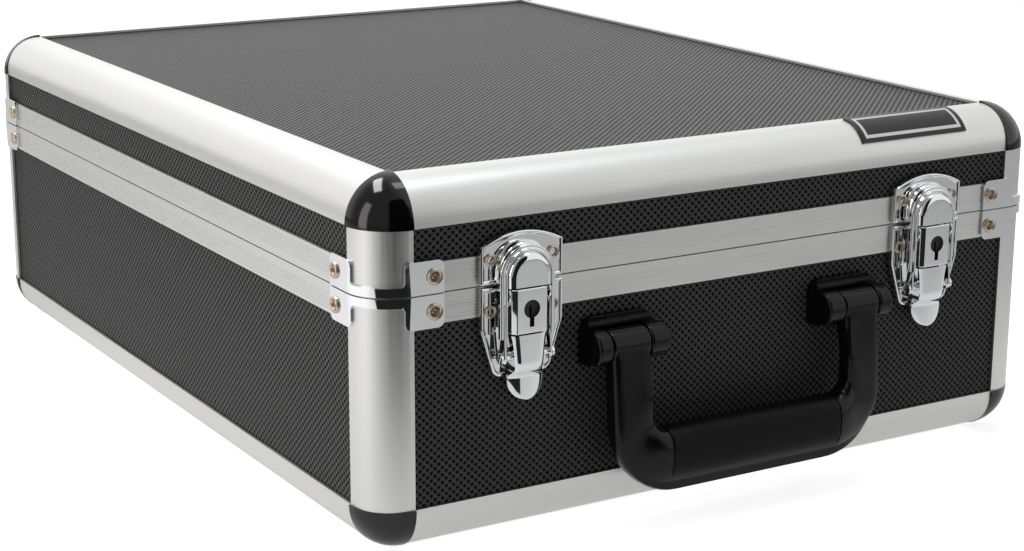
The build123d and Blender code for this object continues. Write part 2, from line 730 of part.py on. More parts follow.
def base_plate():
    """The tapered plate on the base, with two ears for the lever."""
    top = -CLAMP_LIFT - SEAT
    shape = outline(
        (-PLATE_HALF, top),
        (PLATE_HALF, top),
        (PLATE_HALF, BASE_PLATE_SIDE),
        (BASE_PLATE_FOOT_HALF, BASE_PLATE_BOTTOM),
        (-BASE_PLATE_FOOT_HALF, BASE_PLATE_BOTTOM),
        (-PLATE_HALF, BASE_PLATE_SIDE),
    )
    low = shape.vertices().sort_by(lambda v: v.Y)[:2]
    plate = tray(fillet(low, PLATE_OUT), PLATE_OUT)
    for ear in both_sides(lug()):
        plate += ear
    seats = [(x, -HALF_DEPTH - PLATE_OUT, -LATCH_RIVET_OFF) for x in (-CATCH_RIVET_X, CATCH_RIVET_X)]
    seats.append((0, -HALF_DEPTH - PLATE_OUT, BASE_PLATE_FOOT_RIVET))
    return bored(plate, seats, (0, 1, 0), RIVET_LENGTH, RIVET_SHANK)


def key_channel():
    """The upper lever: a channel with bevelled front corners and the keyhole."""
    y = -HALF_DEPTH
    outer = outline(
        (-KEY_HALF, y - CHEEK_BACK),
        (-KEY_HALF, y - KEY_OUT + BEVEL),
        (-KEY_HALF + BEVEL, y - KEY_OUT),
        (KEY_HALF - BEVEL, y - KEY_OUT),
        (KEY_HALF, y - KEY_OUT + BEVEL),
        (KEY_HALF, y - CHEEK_BACK),
    )
    wide = KEY_HALF - SHEET
    inner = outline(
        (-wide, y),
        (-wide, y - KEY_OUT + BEVEL + SHEET / 2),
        (-wide + BEVEL - SHEET / 2, y - KEY_OUT + SHEET),
        (wide - BEVEL + SHEET / 2, y - KEY_OUT + SHEET),
        (wide, y - KEY_OUT + BEVEL + SHEET / 2),
        (wide, y),
    )
    tall = KEY_TOP - KEY_BOTTOM
    channel = extrude(Plane.XY.offset(KEY_BOTTOM) * (outer - inner), tall)
    collar = (0, -HALF_DEPTH - KEY_OUT + SHEET / 2, KEYHOLE_Z)
    deep = KEY_OUT - SHEET / 2 - PLUG_BACK
    channel += rod(collar, (0, 1, 0), deep, PLUG_RADIUS + BORE_SLIP + COLLAR_THICK)
    plug_face = (0, -HALF_DEPTH - KEY_OUT + SHEET, KEYHOLE_Z)
    channel -= rod(plug_face, (0, 1, 0), KEY_OUT, PLUG_RADIUS + BORE_SLIP)
    keyhole = Pos(0, KEYHOLE_Z) * Circle(KEYHOLE_RADIUS)
    keyhole += rect((-KEYHOLE_SLOT / 2, KEYHOLE_SLOT / 2), (KEYHOLE_FOOT, KEYHOLE_Z))
    return channel - standing(keyhole, KEY_OUT + CUT_PAST, KEY_OUT - SHEET - SLIP)


def neck():
    """The lower lever: a tapered channel down to the hasp pin."""
    shape = outline(
        (-KEY_HALF, KEY_BOTTOM + SLIP),
        (KEY_HALF, KEY_BOTTOM + SLIP),
        (NECK_HALF, NECK_BOTTOM),
        (-NECK_HALF, NECK_BOTTOM),
    )
    body = standing(shape, NECK_OUT, NECK_BACK)
    front = body.faces().sort_by(Axis.Y)[0]
    sides = front.edges().filter_by(lambda e: e.length > KEY_BOTTOM - NECK_BOTTOM - SHEET)
    sides = sides.filter_by(lambda e: abs(e.center().X) > NECK_HALF / 2)
    body = chamfer(sides, BEVEL)
    inner = outline(
        (-KEY_HALF + SHEET, KEY_BOTTOM + CUT_PAST),
        (KEY_HALF - SHEET, KEY_BOTTOM + CUT_PAST),
        (NECK_HALF - SHEET, NECK_BOTTOM - CUT_PAST),
        (-NECK_HALF + SHEET, NECK_BOTTOM - CUT_PAST),
    )
    return body - standing(inner, NECK_OUT - SHEET, 0)


def finger_tab():
    """The round finger tab, joined to the neck by a fold."""
    y = -HALF_DEPTH
    fold_top = NECK_BOTTOM + SHEET
    fold_low = TAB_CENTRE + SHEET
    fold = outline(
        (y - NECK_OUT, fold_top),
        (y - NECK_OUT + SHEET, fold_top),
        (y - NECK_OUT + SHEET, NECK_BOTTOM),
        (y - TAB_OUT + SHEET, fold_low),
        (y - TAB_OUT + SHEET, fold_low - SHEET),
        (y - TAB_OUT, fold_low - SHEET),
        (y - TAB_OUT, fold_low),
        (y - NECK_OUT, NECK_BOTTOM),
    )
    across = Plane(origin=(-NECK_HALF, 0, 0), x_dir=(0, 1, 0), z_dir=(1, 0, 0))
    knee = extrude(across * fold, 2 * NECK_HALF)
    disc = Pos(0, TAB_CENTRE) * Circle(TAB_RADIUS)
    disc &= rect((-TAB_RADIUS, TAB_RADIUS), (TAB_CENTRE - TAB_RADIUS, fold_low))
    return knee + standing(disc, TAB_OUT, TAB_OUT - SHEET)


def lever():
    """The latch lever: key plate, neck and finger tab in one pressing."""
    body = key_channel() + neck() + finger_tab()
    pin = (-2 * KEY_HALF, -HALF_DEPTH - LEVER_PIVOT_OUT, LEVER_PIVOT_Z)
    body -= rod(pin, (1, 0, 0), 4 * KEY_HALF, LEVER_PIN + BORE_SLIP)
    pin = (-2 * KEY_HALF, -HALF_DEPTH - HASP_PIVOT_OUT, HASP_PIVOT_Z)
    return body - rod(pin, (1, 0, 0), 4 * KEY_HALF, HASP_PIN + BORE_SLIP)


def hasp_eye():
    """The eye on a hasp leg, across X on the right side."""
    pivot = (-HALF_DEPTH - HASP_PIVOT_OUT, HASP_PIVOT_Z)
    front = -HALF_DEPTH - HASP_BACK - HASP_RIM_THICK
    shape = rect((front, pivot[0] + HASP_EYE / 2), (pivot[1], HASP_LEG_END + HASP_EYE_LAP))
    shape += Pos(*pivot) * Circle(HASP_EYE)
    shape -= Pos(*pivot) * Circle(HASP_PIN + BORE_SLIP)
    start = Plane(origin=(HASP_OPENING, 0, 0), x_dir=(0, 1, 0), z_dir=(1, 0, 0))
    return extrude(start * shape, HASP_EYE_THICK)


def hasp():
    """The draw frame round the lever: stepped rim, raised boss and two eyes."""
    rim_out = HASP_BACK + HASP_RIM_THICK
    body = standing(dome_shape(HASP_HALF, HASP_TOP, HASP_LEG_END), rim_out, HASP_BACK)
    step_top = HASP_TOP - HASP_HALF + HASP_STEP_HALF
    step = dome_shape(HASP_STEP_HALF, step_top, HASP_LEG_END + HASP_STEP_END)
    body += standing(step, rim_out + HASP_STEP, HASP_BACK)
    boss_top = HASP_TOP - HASP_HALF + BOSS_HALF
    boss = standing(dome_shape(BOSS_HALF, boss_top, HASP_SPLIT), BOSS_OUT, rim_out)
    crown = boss.faces().sort_by(Axis.Y)[0].edges()
    crown = crown.filter_by(lambda e: e.center().Z > HASP_SPLIT + SEAT)
    body += chamfer(crown, BEVEL - SLIP)
    window = rect((-HASP_OPENING, HASP_OPENING), (HASP_PIVOT_Z, HASP_SPLIT))
    body -= standing(window, BOSS_OUT + CUT_PAST, 0)
    hollow = dome_shape(BOSS_HALF - SHEET - SLIP, boss_top - SHEET - SLIP, HASP_SPLIT - CUT_PAST)
    body -= standing(hollow, BOSS_OUT - SHEET - SLIP, 0)
    for eye in both_sides(hasp_eye()):
        body += eye
    return body


def lock_plug():
    """The lock barrel behind the keyhole, with its cam hanging down."""
    face = (0, -HALF_DEPTH - KEY_OUT + SHEET + BORE_SLIP, KEYHOLE_Z)
    deep = KEY_OUT - SHEET - BORE_SLIP - PLUG_BACK + SEAT
    plug = rod(face, (0, 1, 0), deep, PLUG_RADIUS)
    slot = rect((-KEYHOLE_SLOT / 4, KEYHOLE_SLOT / 4), (KEYHOLE_Z - PLUG_RADIUS, KEYHOLE_Z + CAM_THICK))
    plug -= standing(slot, KEY_OUT, PLUG_BACK + CAM_THICK)
    cam = rect((-CAM_WIDTH / 2, CAM_WIDTH / 2), (KEYHOLE_Z - CAM_LENGTH, KEYHOLE_Z + CAM_WIDTH / 2))
    back = PLUG_BACK - SEAT
    return plug + standing(cam, back, back - CAM_THICK)


def lever_pin():
    reach = LUG_INNER + LUG_THICK
    start = (-reach, -HALF_DEPTH - LEVER_PIVOT_OUT, LEVER_PIVOT_Z)
    return rod(start, (1, 0, 0), 2 * reach, LEVER_PIN)


def hasp_pin():
    """The pin through lever and hasp, with a flat head at both ends."""
    reach = HASP_OPENING + HASP_EYE_THICK + 2 * BORE_SLIP
    y = -HALF_DEPTH - HASP_PIVOT_OUT
    pin = rod((-reach, y, HASP_PIVOT_Z), (1, 0, 0), 2 * reach, HASP_PIN)
    for head in both_sides(rod((reach, y, HASP_PIVOT_Z), (1, 0, 0), PIN_HEAD, HASP_PIN + PIN_HEAD_LAP)):
        pin += head
    return pin


def write_latches():
    sides = (("left", Pos(-LATCH_X, 0, PARTING)), ("right", Pos(LATCH_X, 0, PARTING)))
    for name, piece in (
        ("latch_base_plates", base_plate()),
        ("latch_catch_plates", catch_plate()),
        ("latch_lever_pins", lever_pin()),
    ):
        save(name, group([place * piece for _, place in sides]), as_base)
    base_seats = latch_seats(PARTING, CATCH_RIVET_X) + plate_foot_seats()
    lid_seats = latch_seats(LID_HEIGHT, CATCH_RIVET_X)
    base = [placed(rivet(LATCH_RIVET_HEAD), seat, (0, 1, 0)) for seat in base_seats]
    lid = [placed(rivet(LATCH_RIVET_HEAD), seat, (0, 1, 0)) for seat in lid_seats]
    save("latch_base_rivets", group(base), as_base)
    save("latch_catch_rivets", group(lid), as_lid)
    for side, place in sides:
        save(f"{side}_latch_lever", place * lever(), as_base)
        save(f"{side}_latch_hasp", place * hasp(), as_base)
        save(f"{side}_hasp_pin", place * hasp_pin(), as_base)
        save(f"{side}_lock_plug", place * lock_plug(), as_base)


# Handle, drawn at the middle of the front face with its pivot at zero

def handle_mount():
    """A moulded mount with two barrels and a hood, at the right side."""
    pad_back = -HALF_DEPTH + PANEL_RECESS
    pad_front = -HALF_DEPTH - MOUNT_PAD
    left = ARM_X - MOUNT_INSIDE
    right = ARM_X + MOUNT_OUTSIDE
    axis = -HALF_DEPTH - HANDLE_OUT
    mount = block((left, right), (pad_front, pad_back), (MOUNT_LOW, MOUNT_HIGH))
    mount += hood((left, right), HOOD_LOW)
    for start, end in ((left, ARM_X - MOUNT_GAP), (ARM_X + MOUNT_GAP, right)):
        mount += barrel(start, end)
        mount += block((start, end), (axis, pad_back), (MOUNT_LOW, BARREL_RADIUS - BARREL_FILLET))
    corner = rect((left, right), (MOUNT_LOW, MOUNT_HIGH))
    corner = corner - fillet(corner.vertices().sort_by(lambda v: v.Y)[2:], MOUNT_CORNER)
    mount -= standing(corner, HANDLE_OUT + 2 * BARREL_RADIUS, -PANEL_BACK)
    return mount - rod((left, axis, 0), (1, 0, 0), right - left, HANDLE_PIN + BORE_SLIP)


def barrel(start, end):
    """A round barrel of a mount with eased ends."""
    round_bar = rod((start, -HALF_DEPTH - HANDLE_OUT, 0), (1, 0, 0), end - start, BARREL_RADIUS)
    return fillet(round_bar.edges().filter_by(GeomType.CIRCLE), BARREL_FILLET)


def hood(x, low):
    """The roof over the barrels and the hub, sloping to the front."""
    back = -HALF_DEPTH
    front = -HALF_DEPTH - HOOD_OUT
    roof = outline((back, low), (front, low), (front, HOOD_LIP), (back, MOUNT_HIGH))
    start = Plane(origin=(x[0], 0, 0), x_dir=(0, 1, 0), z_dir=(1, 0, 0))
    return extrude(start * roof, x[1] - x[0])


def bow_shape():
    """The D-shaped outline of the handle, with its window."""
    outer = rect((-ARM_OUTER, ARM_OUTER), (BOW_BOTTOM, 0))
    outer = fillet(outer.vertices().sort_by(lambda v: v.Y)[:2], BOW_RADIUS)
    window = rect((-ARM_INNER, ARM_INNER), (BOW_BAR_TOP, ARM_THICK))
    window = fillet(window.vertices().sort_by(lambda v: v.Y)[:2], BOW_INNER_RADIUS)
    return outer - window


def grip_bar(start, end):
    """A rounded bar with the section of the grip, between two places on X."""
    front = -HALF_DEPTH - GRIP_OUT
    bar = block((start, end), (front, front + GRIP_THICK), (GRIP_LOW, GRIP_TOP))
    return fillet(bar.edges().filter_by(Axis.X), GRIP_FILLET)


def handle_bow():
    """The moulded handle: two arms that come out from their hubs, and a bar with two collars."""
    hub_radius = BARREL_RADIUS - HUB_SLIP
    bow = standing(bow_shape(), ARM_OUT, ARM_OUT - ARM_THICK)
    rims = bow.faces().filter_by(Axis.Y).edges()
    bow = fillet(rims.filter_by(lambda e: e.center().Z < -CUT_PAST), BOW_FILLET)
    hub_front = -HALF_DEPTH - HANDLE_OUT - hub_radius
    slope = outline(
        (hub_front, CUT_PAST),
        (hub_front, -hub_radius / 2),
        (-HALF_DEPTH - ARM_OUT, -ARM_SLOPE),
        (-HALF_DEPTH - 2 * ARM_OUT, -ARM_SLOPE),
        (-HALF_DEPTH - 2 * ARM_OUT, CUT_PAST),
    )
    across = Plane(origin=(-ARM_OUTER, 0, 0), x_dir=(0, 1, 0), z_dir=(1, 0, 0))
    bow -= extrude(across * slope, 2 * ARM_OUTER)
    axis = -HALF_DEPTH - HANDLE_OUT
    hub_half = MOUNT_GAP - HUB_SLIP
    for side in (-1, 1):
        start = (side * ARM_X - hub_half, axis, 0)
        bow += rod(start, (1, 0, 0), 2 * hub_half, hub_radius)
        bow -= rod(start, (1, 0, 0), 2 * hub_half, HANDLE_PIN + BORE_SLIP)
    for collar in both_sides(grip_bar(GRIP_HALF, ARM_INNER + BOW_FILLET)):
        bow += collar
    return bow


def handle_grip():
    """The soft grip moulded over the bar."""
    grip = grip_bar(-GRIP_HALF, GRIP_HALF)
    return grip - standing(bow_shape(), ARM_OUT, ARM_OUT - ARM_THICK)


def handle_pin():
    start = (ARM_X - MOUNT_INSIDE, -HALF_DEPTH - HANDLE_OUT, 0)
    return rod(start, (1, 0, 0), MOUNT_INSIDE + MOUNT_OUTSIDE, HANDLE_PIN)


def write_handle():
    level = Pos(0, 0, HANDLE_Z)
    seats = mount_screw_seats()
    mounts = [level * one for one in both_sides(handle_mount())]
    mounts = [bored(one, seats, (0, -1, 0), MOUNT_SCREW_BITE, SCREW_SHANK) for one in mounts]
    save("handle_mounts", group(mounts), as_base)
    screws = [placed(screw(MOUNT_SCREW_BITE - SLIP), seat, (0, -1, 0)) for seat in seats]
    save("handle_mount_screws", group(screws), as_base)
    save("handle_pins", group([level * one for one in both_sides(handle_pin())]), as_base)
    save("handle_bow", level * handle_bow(), as_base)
    save("handle_grip", level * handle_grip(), as_base)


# Badge plate and foam

def badge_plate():
    """A thin blank plate bent round the front top edge."""
    y = -HALF_DEPTH + EDGE_RADIUS
    axis = Axis((BADGE_LEFT, y, HEIGHT - EDGE_RADIUS), (1, 0, 0))
    section = rect((BADGE_LEFT, BADGE_LEFT + BADGE_WIDTH), (HEIGHT, HEIGHT + BADGE_THICK))
    start = Plane(origin=(0, y, 0), x_dir=(1, 0, 0), z_dir=(0, -1, 0))
    bent = revolve(start * section, axis, BADGE_WRAP)
    return bent.rotate(axis, BADGE_TILT)


def write_foam():
    floor = flat_foam(FLOOR_FOAM)
    lid = flat_foam(LID_FOAM)
    floor_top = INNER_FACE + SEAT + FLOOR_FOAM
    lid_top = INNER_FACE + SEAT + LID_FOAM
    save("base_floor_foam", floor, as_base)
    save("base_wall_foam", group(wall_foam(floor_top + SEAT, PARTING - PARTING_GAP)), as_base)
    save("lid_foam", lid, as_lid)
    save("lid_wall_foam", group(wall_foam(lid_top + SEAT, LID_HEIGHT - PARTING_GAP)), as_lid)


bottom = bored(flat_panel(), foot_seats(), (0, 0, 1), SCREW_BITE, SCREW_SHANK)
save("base_bottom_panel", bottom, as_base)
save("lid_top_panel", flat_panel(), as_lid)
write_half("base", PARTING, as_base, base_front_panel(), base_back_panel(), True)
write_half("lid", LID_HEIGHT, as_lid, lid_front_panel(), lid_back_panel(), False)
write_foam()
write_feet()
write_hinges()
write_latches()
write_handle()
save("badge_plate", badge_plate(), as_base)
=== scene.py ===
import math
import random

import bmesh
import bpy
from mathutils import Matrix, Quaternion, Vector
from mathutils.geometry import tessellate_polygon


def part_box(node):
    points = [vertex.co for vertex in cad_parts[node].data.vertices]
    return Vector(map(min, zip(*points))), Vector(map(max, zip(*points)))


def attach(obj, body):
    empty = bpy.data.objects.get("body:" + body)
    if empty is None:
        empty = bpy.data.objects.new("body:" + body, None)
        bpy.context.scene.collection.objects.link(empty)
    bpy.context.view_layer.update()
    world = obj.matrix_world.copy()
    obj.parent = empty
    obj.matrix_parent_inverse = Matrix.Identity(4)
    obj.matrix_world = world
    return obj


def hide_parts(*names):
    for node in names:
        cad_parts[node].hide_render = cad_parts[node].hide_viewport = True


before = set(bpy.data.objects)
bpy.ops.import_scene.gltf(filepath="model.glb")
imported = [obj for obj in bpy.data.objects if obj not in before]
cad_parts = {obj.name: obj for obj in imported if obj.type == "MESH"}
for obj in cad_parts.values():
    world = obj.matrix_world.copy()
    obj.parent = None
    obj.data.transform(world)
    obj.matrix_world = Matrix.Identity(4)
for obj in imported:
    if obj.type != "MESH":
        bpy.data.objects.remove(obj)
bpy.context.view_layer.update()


# Panels of the base and the lid
#
# Plywood sheets faced with a black laminate that is embossed with a fine diagonal net.
# They slide into channels of the aluminium edges, so only their embossed faces show.
# The sunken cells of the net are coloured darker than the raised net, which is painted shade.

NET_ACROSS = 0.00357
NET_UP = 0.0034
NET_DEPTH = 0.00030
NET_COLOUR = (0.066, 0.068, 0.066, 1.0)
# Colour of the sunken cells, near black: painted shade in the recesses.
CELL_PAINTED_SHADE = (0.0010, 0.0010, 0.0011, 1.0)
NET_SHEEN = 0.10
NET_EDGE = (0.26, 0.54)
CELL_ROUGH = 0.80
NET_ROUGH = 0.28
LAMINATE_GRAIN = 2600
GRAIN_SHARE = 0.05


def start_material(name):
    """A new node material, with its tree and its main shader."""
    finish = bpy.data.materials.new(name)
    finish.use_nodes = True
    return finish, finish.node_tree, finish.node_tree.nodes["Principled BSDF"]


def add_node(tree, kind, settings=None, inputs=None):
    """A node with its settings, its sockets filled by values or by other nodes."""
    node = tree.nodes.new(kind)
    for key, value in (settings or {}).items():
        setattr(node, key, value)
    for key, value in (inputs or {}).items():
        if isinstance(value, bpy.types.NodeSocket):
            tree.links.new(value, node.inputs[key])
        else:
            node.inputs[key].default_value = value
    return node


def maths(tree, operation, first, second=0.0, third=0.0):
    """The output of one Math node."""
    inputs = {0: first, 1: second, 2: third}
    return add_node(tree, "ShaderNodeMath", {"operation": operation}, inputs).outputs[0]


def spread(tree, value, start, end, low=0.0, high=1.0):
    """A value moved smoothly from one range to another."""
    inputs = {"Value": value, "From Min": start, "From Max": end, "To Min": low, "To Max": high}
    settings = {"interpolation_type": "SMOOTHSTEP"}
    return add_node(tree, "ShaderNodeMapRange", settings, inputs).outputs["Result"]


def blend_colours(tree, share, first, second):
    """Two colours mixed by a share."""
    node = add_node(tree, "ShaderNodeMix", {"data_type": "RGBA"})
    for socket, value in zip((0, 6, 7), (share, first, second)):
        if isinstance(value, bpy.types.NodeSocket):
            tree.links.new(value, node.inputs[socket])
        else:
            node.inputs[socket].default_value = value
    return node.outputs[2]


def grain(tree, scale, detail=2.0):
    """Noise in the piece's own coordinates, stretched by a scale for each axis."""
    place = add_node(tree, "ShaderNodeTexCoord").outputs["Object"]
    stretched = add_node(tree, "ShaderNodeMapping", None, {"Vector": place, "Scale": scale})
    inputs = {"Vector": stretched.outputs[0], "Scale": 1.0, "Detail": detail}
    return add_node(tree, "ShaderNodeTexNoise", None, inputs).outputs["Fac"]


def raise_surface(tree, shader, height, depth):
    """Bump of a real depth in metres."""
    inputs = {"Height": height, "Distance": depth, "Strength": 1.0}
    bump = add_node(tree, "ShaderNodeBump", None, inputs)
    tree.links.new(bump.outputs[0], shader.inputs["Normal"])


def laminate(name, across, up):
    """The embossed laminate of a panel that lies along two axes, with painted shade in its sunken cells.
    """
    finish, tree, shader = start_material(name)
    place = add_node(tree, "ShaderNodeTexCoord").outputs["Object"]
    axes = add_node(tree, "ShaderNodeSeparateXYZ", None, {0: place}).outputs
    u = maths(tree, "DIVIDE", axes[across], NET_ACROSS)
    v = maths(tree, "DIVIDE", axes[up], NET_UP)
    turn_u = maths(tree, "COSINE", maths(tree, "MULTIPLY", u, 2.0 * math.pi))
    turn_v = maths(tree, "COSINE", maths(tree, "MULTIPLY", v, 2.0 * math.pi))
    bumps = maths(tree, "MULTIPLY_ADD", maths(tree, "MULTIPLY", turn_u, turn_v), 0.5, 0.5)
    net = spread(tree, bumps, *NET_EDGE)
    # Painted shade: the sunken cells take the near-black colour, and the raised net keeps its own grey.
    tree.links.new(blend_colours(tree, net, CELL_PAINTED_SHADE, NET_COLOUR), shader.inputs["Base Color"])
    fine = grain(tree, [LAMINATE_GRAIN] * 3)
    height = maths(tree, "MULTIPLY_ADD", fine, GRAIN_SHARE, bumps)
    raise_surface(tree, shader, height, NET_DEPTH)
    tree.links.new(spread(tree, net, 0.0, 1.0, CELL_ROUGH, NET_ROUGH), shader.inputs["Roughness"])
    shader.inputs["Specular IOR Level"].default_value = NET_SHEEN
    return finish


def dress(finish, *names):
    """Give the frame's pieces a finish."""
    for name in names:
        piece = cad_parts[name]
        piece.data.materials.clear()
        piece.data.materials.append(finish)


X, Y, Z = 0, 1, 2
HALVES = ("base", "lid")
upright = laminate("laminate_front", X, Z)
dress(upright, *(f"{half}_{side}_panel" for half in HALVES for side in ("front", "back")))
sideways = laminate("laminate_side", Y, Z)
dress(sideways, *(f"{half}_{side}_panel" for half in HALVES for side in ("left", "right")))
dress(laminate("laminate_flat", X, Y), "base_bottom_panel", "lid_top_panel")


# Aluminium edges, corner posts and closure strips
#
# Extruded and satin anodised. The edges carry the panels in channels, the posts stand between
# the ball corners, and the grooved closure strips meet at the parting line.

SATIN = (0.77, 0.765, 0.755, 1.0)
DRAW_LINE = 7000.0
DRAW_LENGTH = 25.0
SATIN_ROUGH = (0.28, 0.46)
CLOUD_ROUGH = 0.06
DRAW_DEPTH = 0.000006


def anodised(name, along):
    """Satin anodised aluminium with fine draw lines along the extrusion."""
    finish, tree, shader = start_material(name)
    scale = [DRAW_LINE] * 3
    for axis in along:
        scale[axis] = DRAW_LENGTH
    lines = grain(tree, scale, 3.0)
    cloud = grain(tree, (9, 9, 9))
    shader.inputs["Base Color"].default_value = SATIN
    shader.inputs["Metallic"].default_value = 1.0
    drawn = spread(tree, lines, 0.25, 0.75, *SATIN_ROUGH)
    rough = maths(tree, "ADD", drawn, maths(tree, "MULTIPLY", cloud, CLOUD_ROUGH))
    tree.links.new(rough, shader.inputs["Roughness"])
    raise_surface(tree, shader, lines, DRAW_DEPTH)
    return finish


satin_across = anodised("satin_across", [X])
dress(satin_across, *(f"{half}_edge_{side}" for half in HALVES for side in ("front", "back")))
satin_along = anodised("satin_along", [Y])
dress(satin_along, *(f"{half}_edge_{side}" for half in HALVES for side in ("left", "right")))
dress(anodised("satin_upright", [Z]), *(f"{half}_corner_posts" for half in HALVES))
dress(anodised("satin_strip", [X, Y]), *(f"{half}_closure_frame" for half in HALVES))


# Ball corners
#
# Black moulded plastic, semi-gloss with a faint moulded texture. Stubs inside them are
# pushed into the three edges that meet there.

BALL_BLACK = (0.0025, 0.0025, 0.0025, 1.0)


def moulded(name, colour, low_rough, high_rough, texture, gloss=0.5):
    """Moulded plastic with a fine surface texture of a given depth."""
    finish, tree, shader = start_material(name)
    fine = grain(tree, (1800, 1800, 1800), 3.0)
    patches = grain(tree, (40, 40, 40))
    shader.inputs["Base Color"].default_value = colour
    tree.links.new(spread(tree, patches, 0.3, 0.7, low_rough, high_rough), shader.inputs["Roughness"])
    shader.inputs["Specular IOR Level"].default_value = gloss
    raise_surface(tree, shader, fine, texture)
    return finish


ball_plastic = moulded("ball_plastic", BALL_BLACK, 0.09, 0.13, 0.000002)
dress(ball_plastic, *(f"{half}_corner_balls" for half in HALVES))


# Corner clamps and their rivets
#
# Chromed steel bands bent round each corner post beside the parting line, with an ear
# riveted to the strip on both faces. The hollow rivets are nickel plated and a little warm.

CHROME = (0.86, 0.86, 0.87, 1.0)
NICKEL = (0.60, 0.50, 0.40, 1.0)
CLAMP_EASE = 0.0004
RIVET_RISE = 0.0012
RIVET_DEEP = 0.0060
RIVET_SIDES = 28
SMOOTH_UNDER = math.radians(38)
WELD_PLACES = 0.00003
WELD_SOLIDS = 0.00001
WELD_EDGES = 0.00002
NO_LENGTH = 0.000001
CAP_POINTS = 8
FLAT_UNDER = math.radians(0.5)
BEVEL_OVER = math.radians(32)
BEVEL_STEPS = 3
SMEAR_SCALE = 120
WAVE_SCALE = 60


def plated(name, colour, low_rough, high_rough, ripple):
    """Plated metal with faint smears and the slight ripple of pressed sheet."""
    finish, tree, shader = start_material(name)
    smear = grain(tree, [SMEAR_SCALE] * 3, 4.0)
    wave = grain(tree, [WAVE_SCALE] * 3, 1.0)
    shader.inputs["Base Color"].default_value = colour
    shader.inputs["Metallic"].default_value = 1.0
    tree.links.new(spread(tree, smear, 0.35, 0.75, low_rough, high_rough), shader.inputs["Roughness"])
    raise_surface(tree, shader, wave, ripple)
    return finish


def ease_edges(width, *names):
    """Take the sharpness off the edges of the frame's pieces."""
    for name in names:
        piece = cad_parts[name]
        weld = piece.modifiers.new("weld", "WELD")
        weld.merge_threshold = WELD_EDGES
        flat = piece.modifiers.new("flat", "DECIMATE")
        flat.decimate_type = "DISSOLVE"
        flat.angle_limit = FLAT_UNDER
        bevel = piece.modifiers.new("bevel", "BEVEL")
        bevel.width = width
        bevel.segments = BEVEL_STEPS
        bevel.limit_method = "ANGLE"
        bevel.angle_limit = BEVEL_OVER
        bevel.harden_normals = True
        bevel.use_clamp_overlap = True
        piece.modifiers.new("normals", "WEIGHTED_NORMAL").keep_sharp = True


chrome = plated("chrome", CHROME, 0.04, 0.09, 0.00018)
nickel = plated("nickel", NICKEL, 0.34, 0.42, 0.00002)
dress(chrome, *(f"{half}_corner_clamps" for half in HALVES))
ease_edges(CLAMP_EASE, *(f"{half}_corner_clamps" for half in HALVES))


def skin(made, rings, first_cap=True, last_cap=True):
    """Join rings that have the same number of points."""
    loops = [[made.verts.new(point) for point in ring] for ring in rings]
    for near, far in zip(loops, loops[1:]):
        for index in range(len(near)):
            after = (index + 1) % len(near)
            made.faces.new((near[index], near[after], far[after], far[index]))
    if first_cap:
        made.faces.new(list(reversed(loops[0])))
    if last_cap:
        made.faces.new(loops[-1])


def finish_piece(name, made, finish, body, slot, *nodes):
    """Turn the skin into a piece that rides on a body and stands for the frame's pieces."""
    bmesh.ops.remove_doubles(made, verts=made.verts, dist=WELD_PLACES)
    bmesh.ops.dissolve_degenerate(made, edges=made.edges, dist=NO_LENGTH)
    bmesh.ops.recalc_face_normals(made, faces=made.faces)
    for edge in made.edges:
        edge.smooth = len(edge.link_faces) == 2 and edge.calc_face_angle() < SMOOTH_UNDER
    for face in made.faces:
        face.smooth = len(face.verts) <= CAP_POINTS
    mesh = bpy.data.meshes.new(name)
    made.to_mesh(mesh)
    made.free()
    mesh.materials.append(finish)
    piece = bpy.data.objects.new(name, mesh)
    bpy.context.scene.collection.objects.link(piece)
    piece.modifiers.new("normals", "WEIGHTED_NORMAL").keep_sharp = True
    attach(piece, body)
    if nodes:
        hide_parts(*nodes)
    return piece


def hollow_rivet(made, seat, way, radius):
    """A tubular rivet: a rolled ring round a deep dimple, on a short shank."""
    forward = Vector(way)
    across = forward.orthogonal().normalized()
    upward = forward.cross(across)
    lathe = [(0.50, -RIVET_DEEP / RIVET_RISE), (0.50, 0.0), (0.97, 0.0), (1.0, 0.25), (0.97, 0.55)]
    lathe += [(0.90, 0.85), (0.82, 1.0), (0.74, 0.97), (0.66, 0.80), (0.58, 0.45), (0.49, 0.0)]
    lathe += [(0.44, -0.55), (0.30, -1.0), (0.03, -1.2)]
    rings = []
    for share, rise in lathe:
        ring = []
        for part in range(RIVET_SIDES):
            turn = math.radians(360 * part / RIVET_SIDES)
            spoke = across * math.cos(turn) + upward * math.sin(turn)
            ring.append(Vector(seat) + spoke * radius * share + forward * RIVET_RISE * rise)
        rings.append(ring)
    skin(made, rings)


def islands(name):
    """The boxes of the separate solids in one of the frame's pieces."""
    made = bmesh.new()
    made.from_mesh(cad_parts[name].data)
    bmesh.ops.remove_doubles(made, verts=made.verts, dist=WELD_SOLIDS)
    left, boxes = set(made.verts), []
    while left:
        todo, found = [left.pop()], []
        while todo:
            vertex = todo.pop()
            found.append(vertex.co.copy())
            for edge in vertex.link_edges:
                other = edge.other_vert(vertex)
                if other in left:
                    left.remove(other)
                    todo.append(other)
        low = Vector([min(place[axis] for place in found) for axis in range(3)])
        high = Vector([max(place[axis] for place in found) for axis in range(3)])
        boxes.append((low, high))
    made.free()
    return sorted(boxes, key=lambda box: tuple(round(value, 5) for value in box[0]))


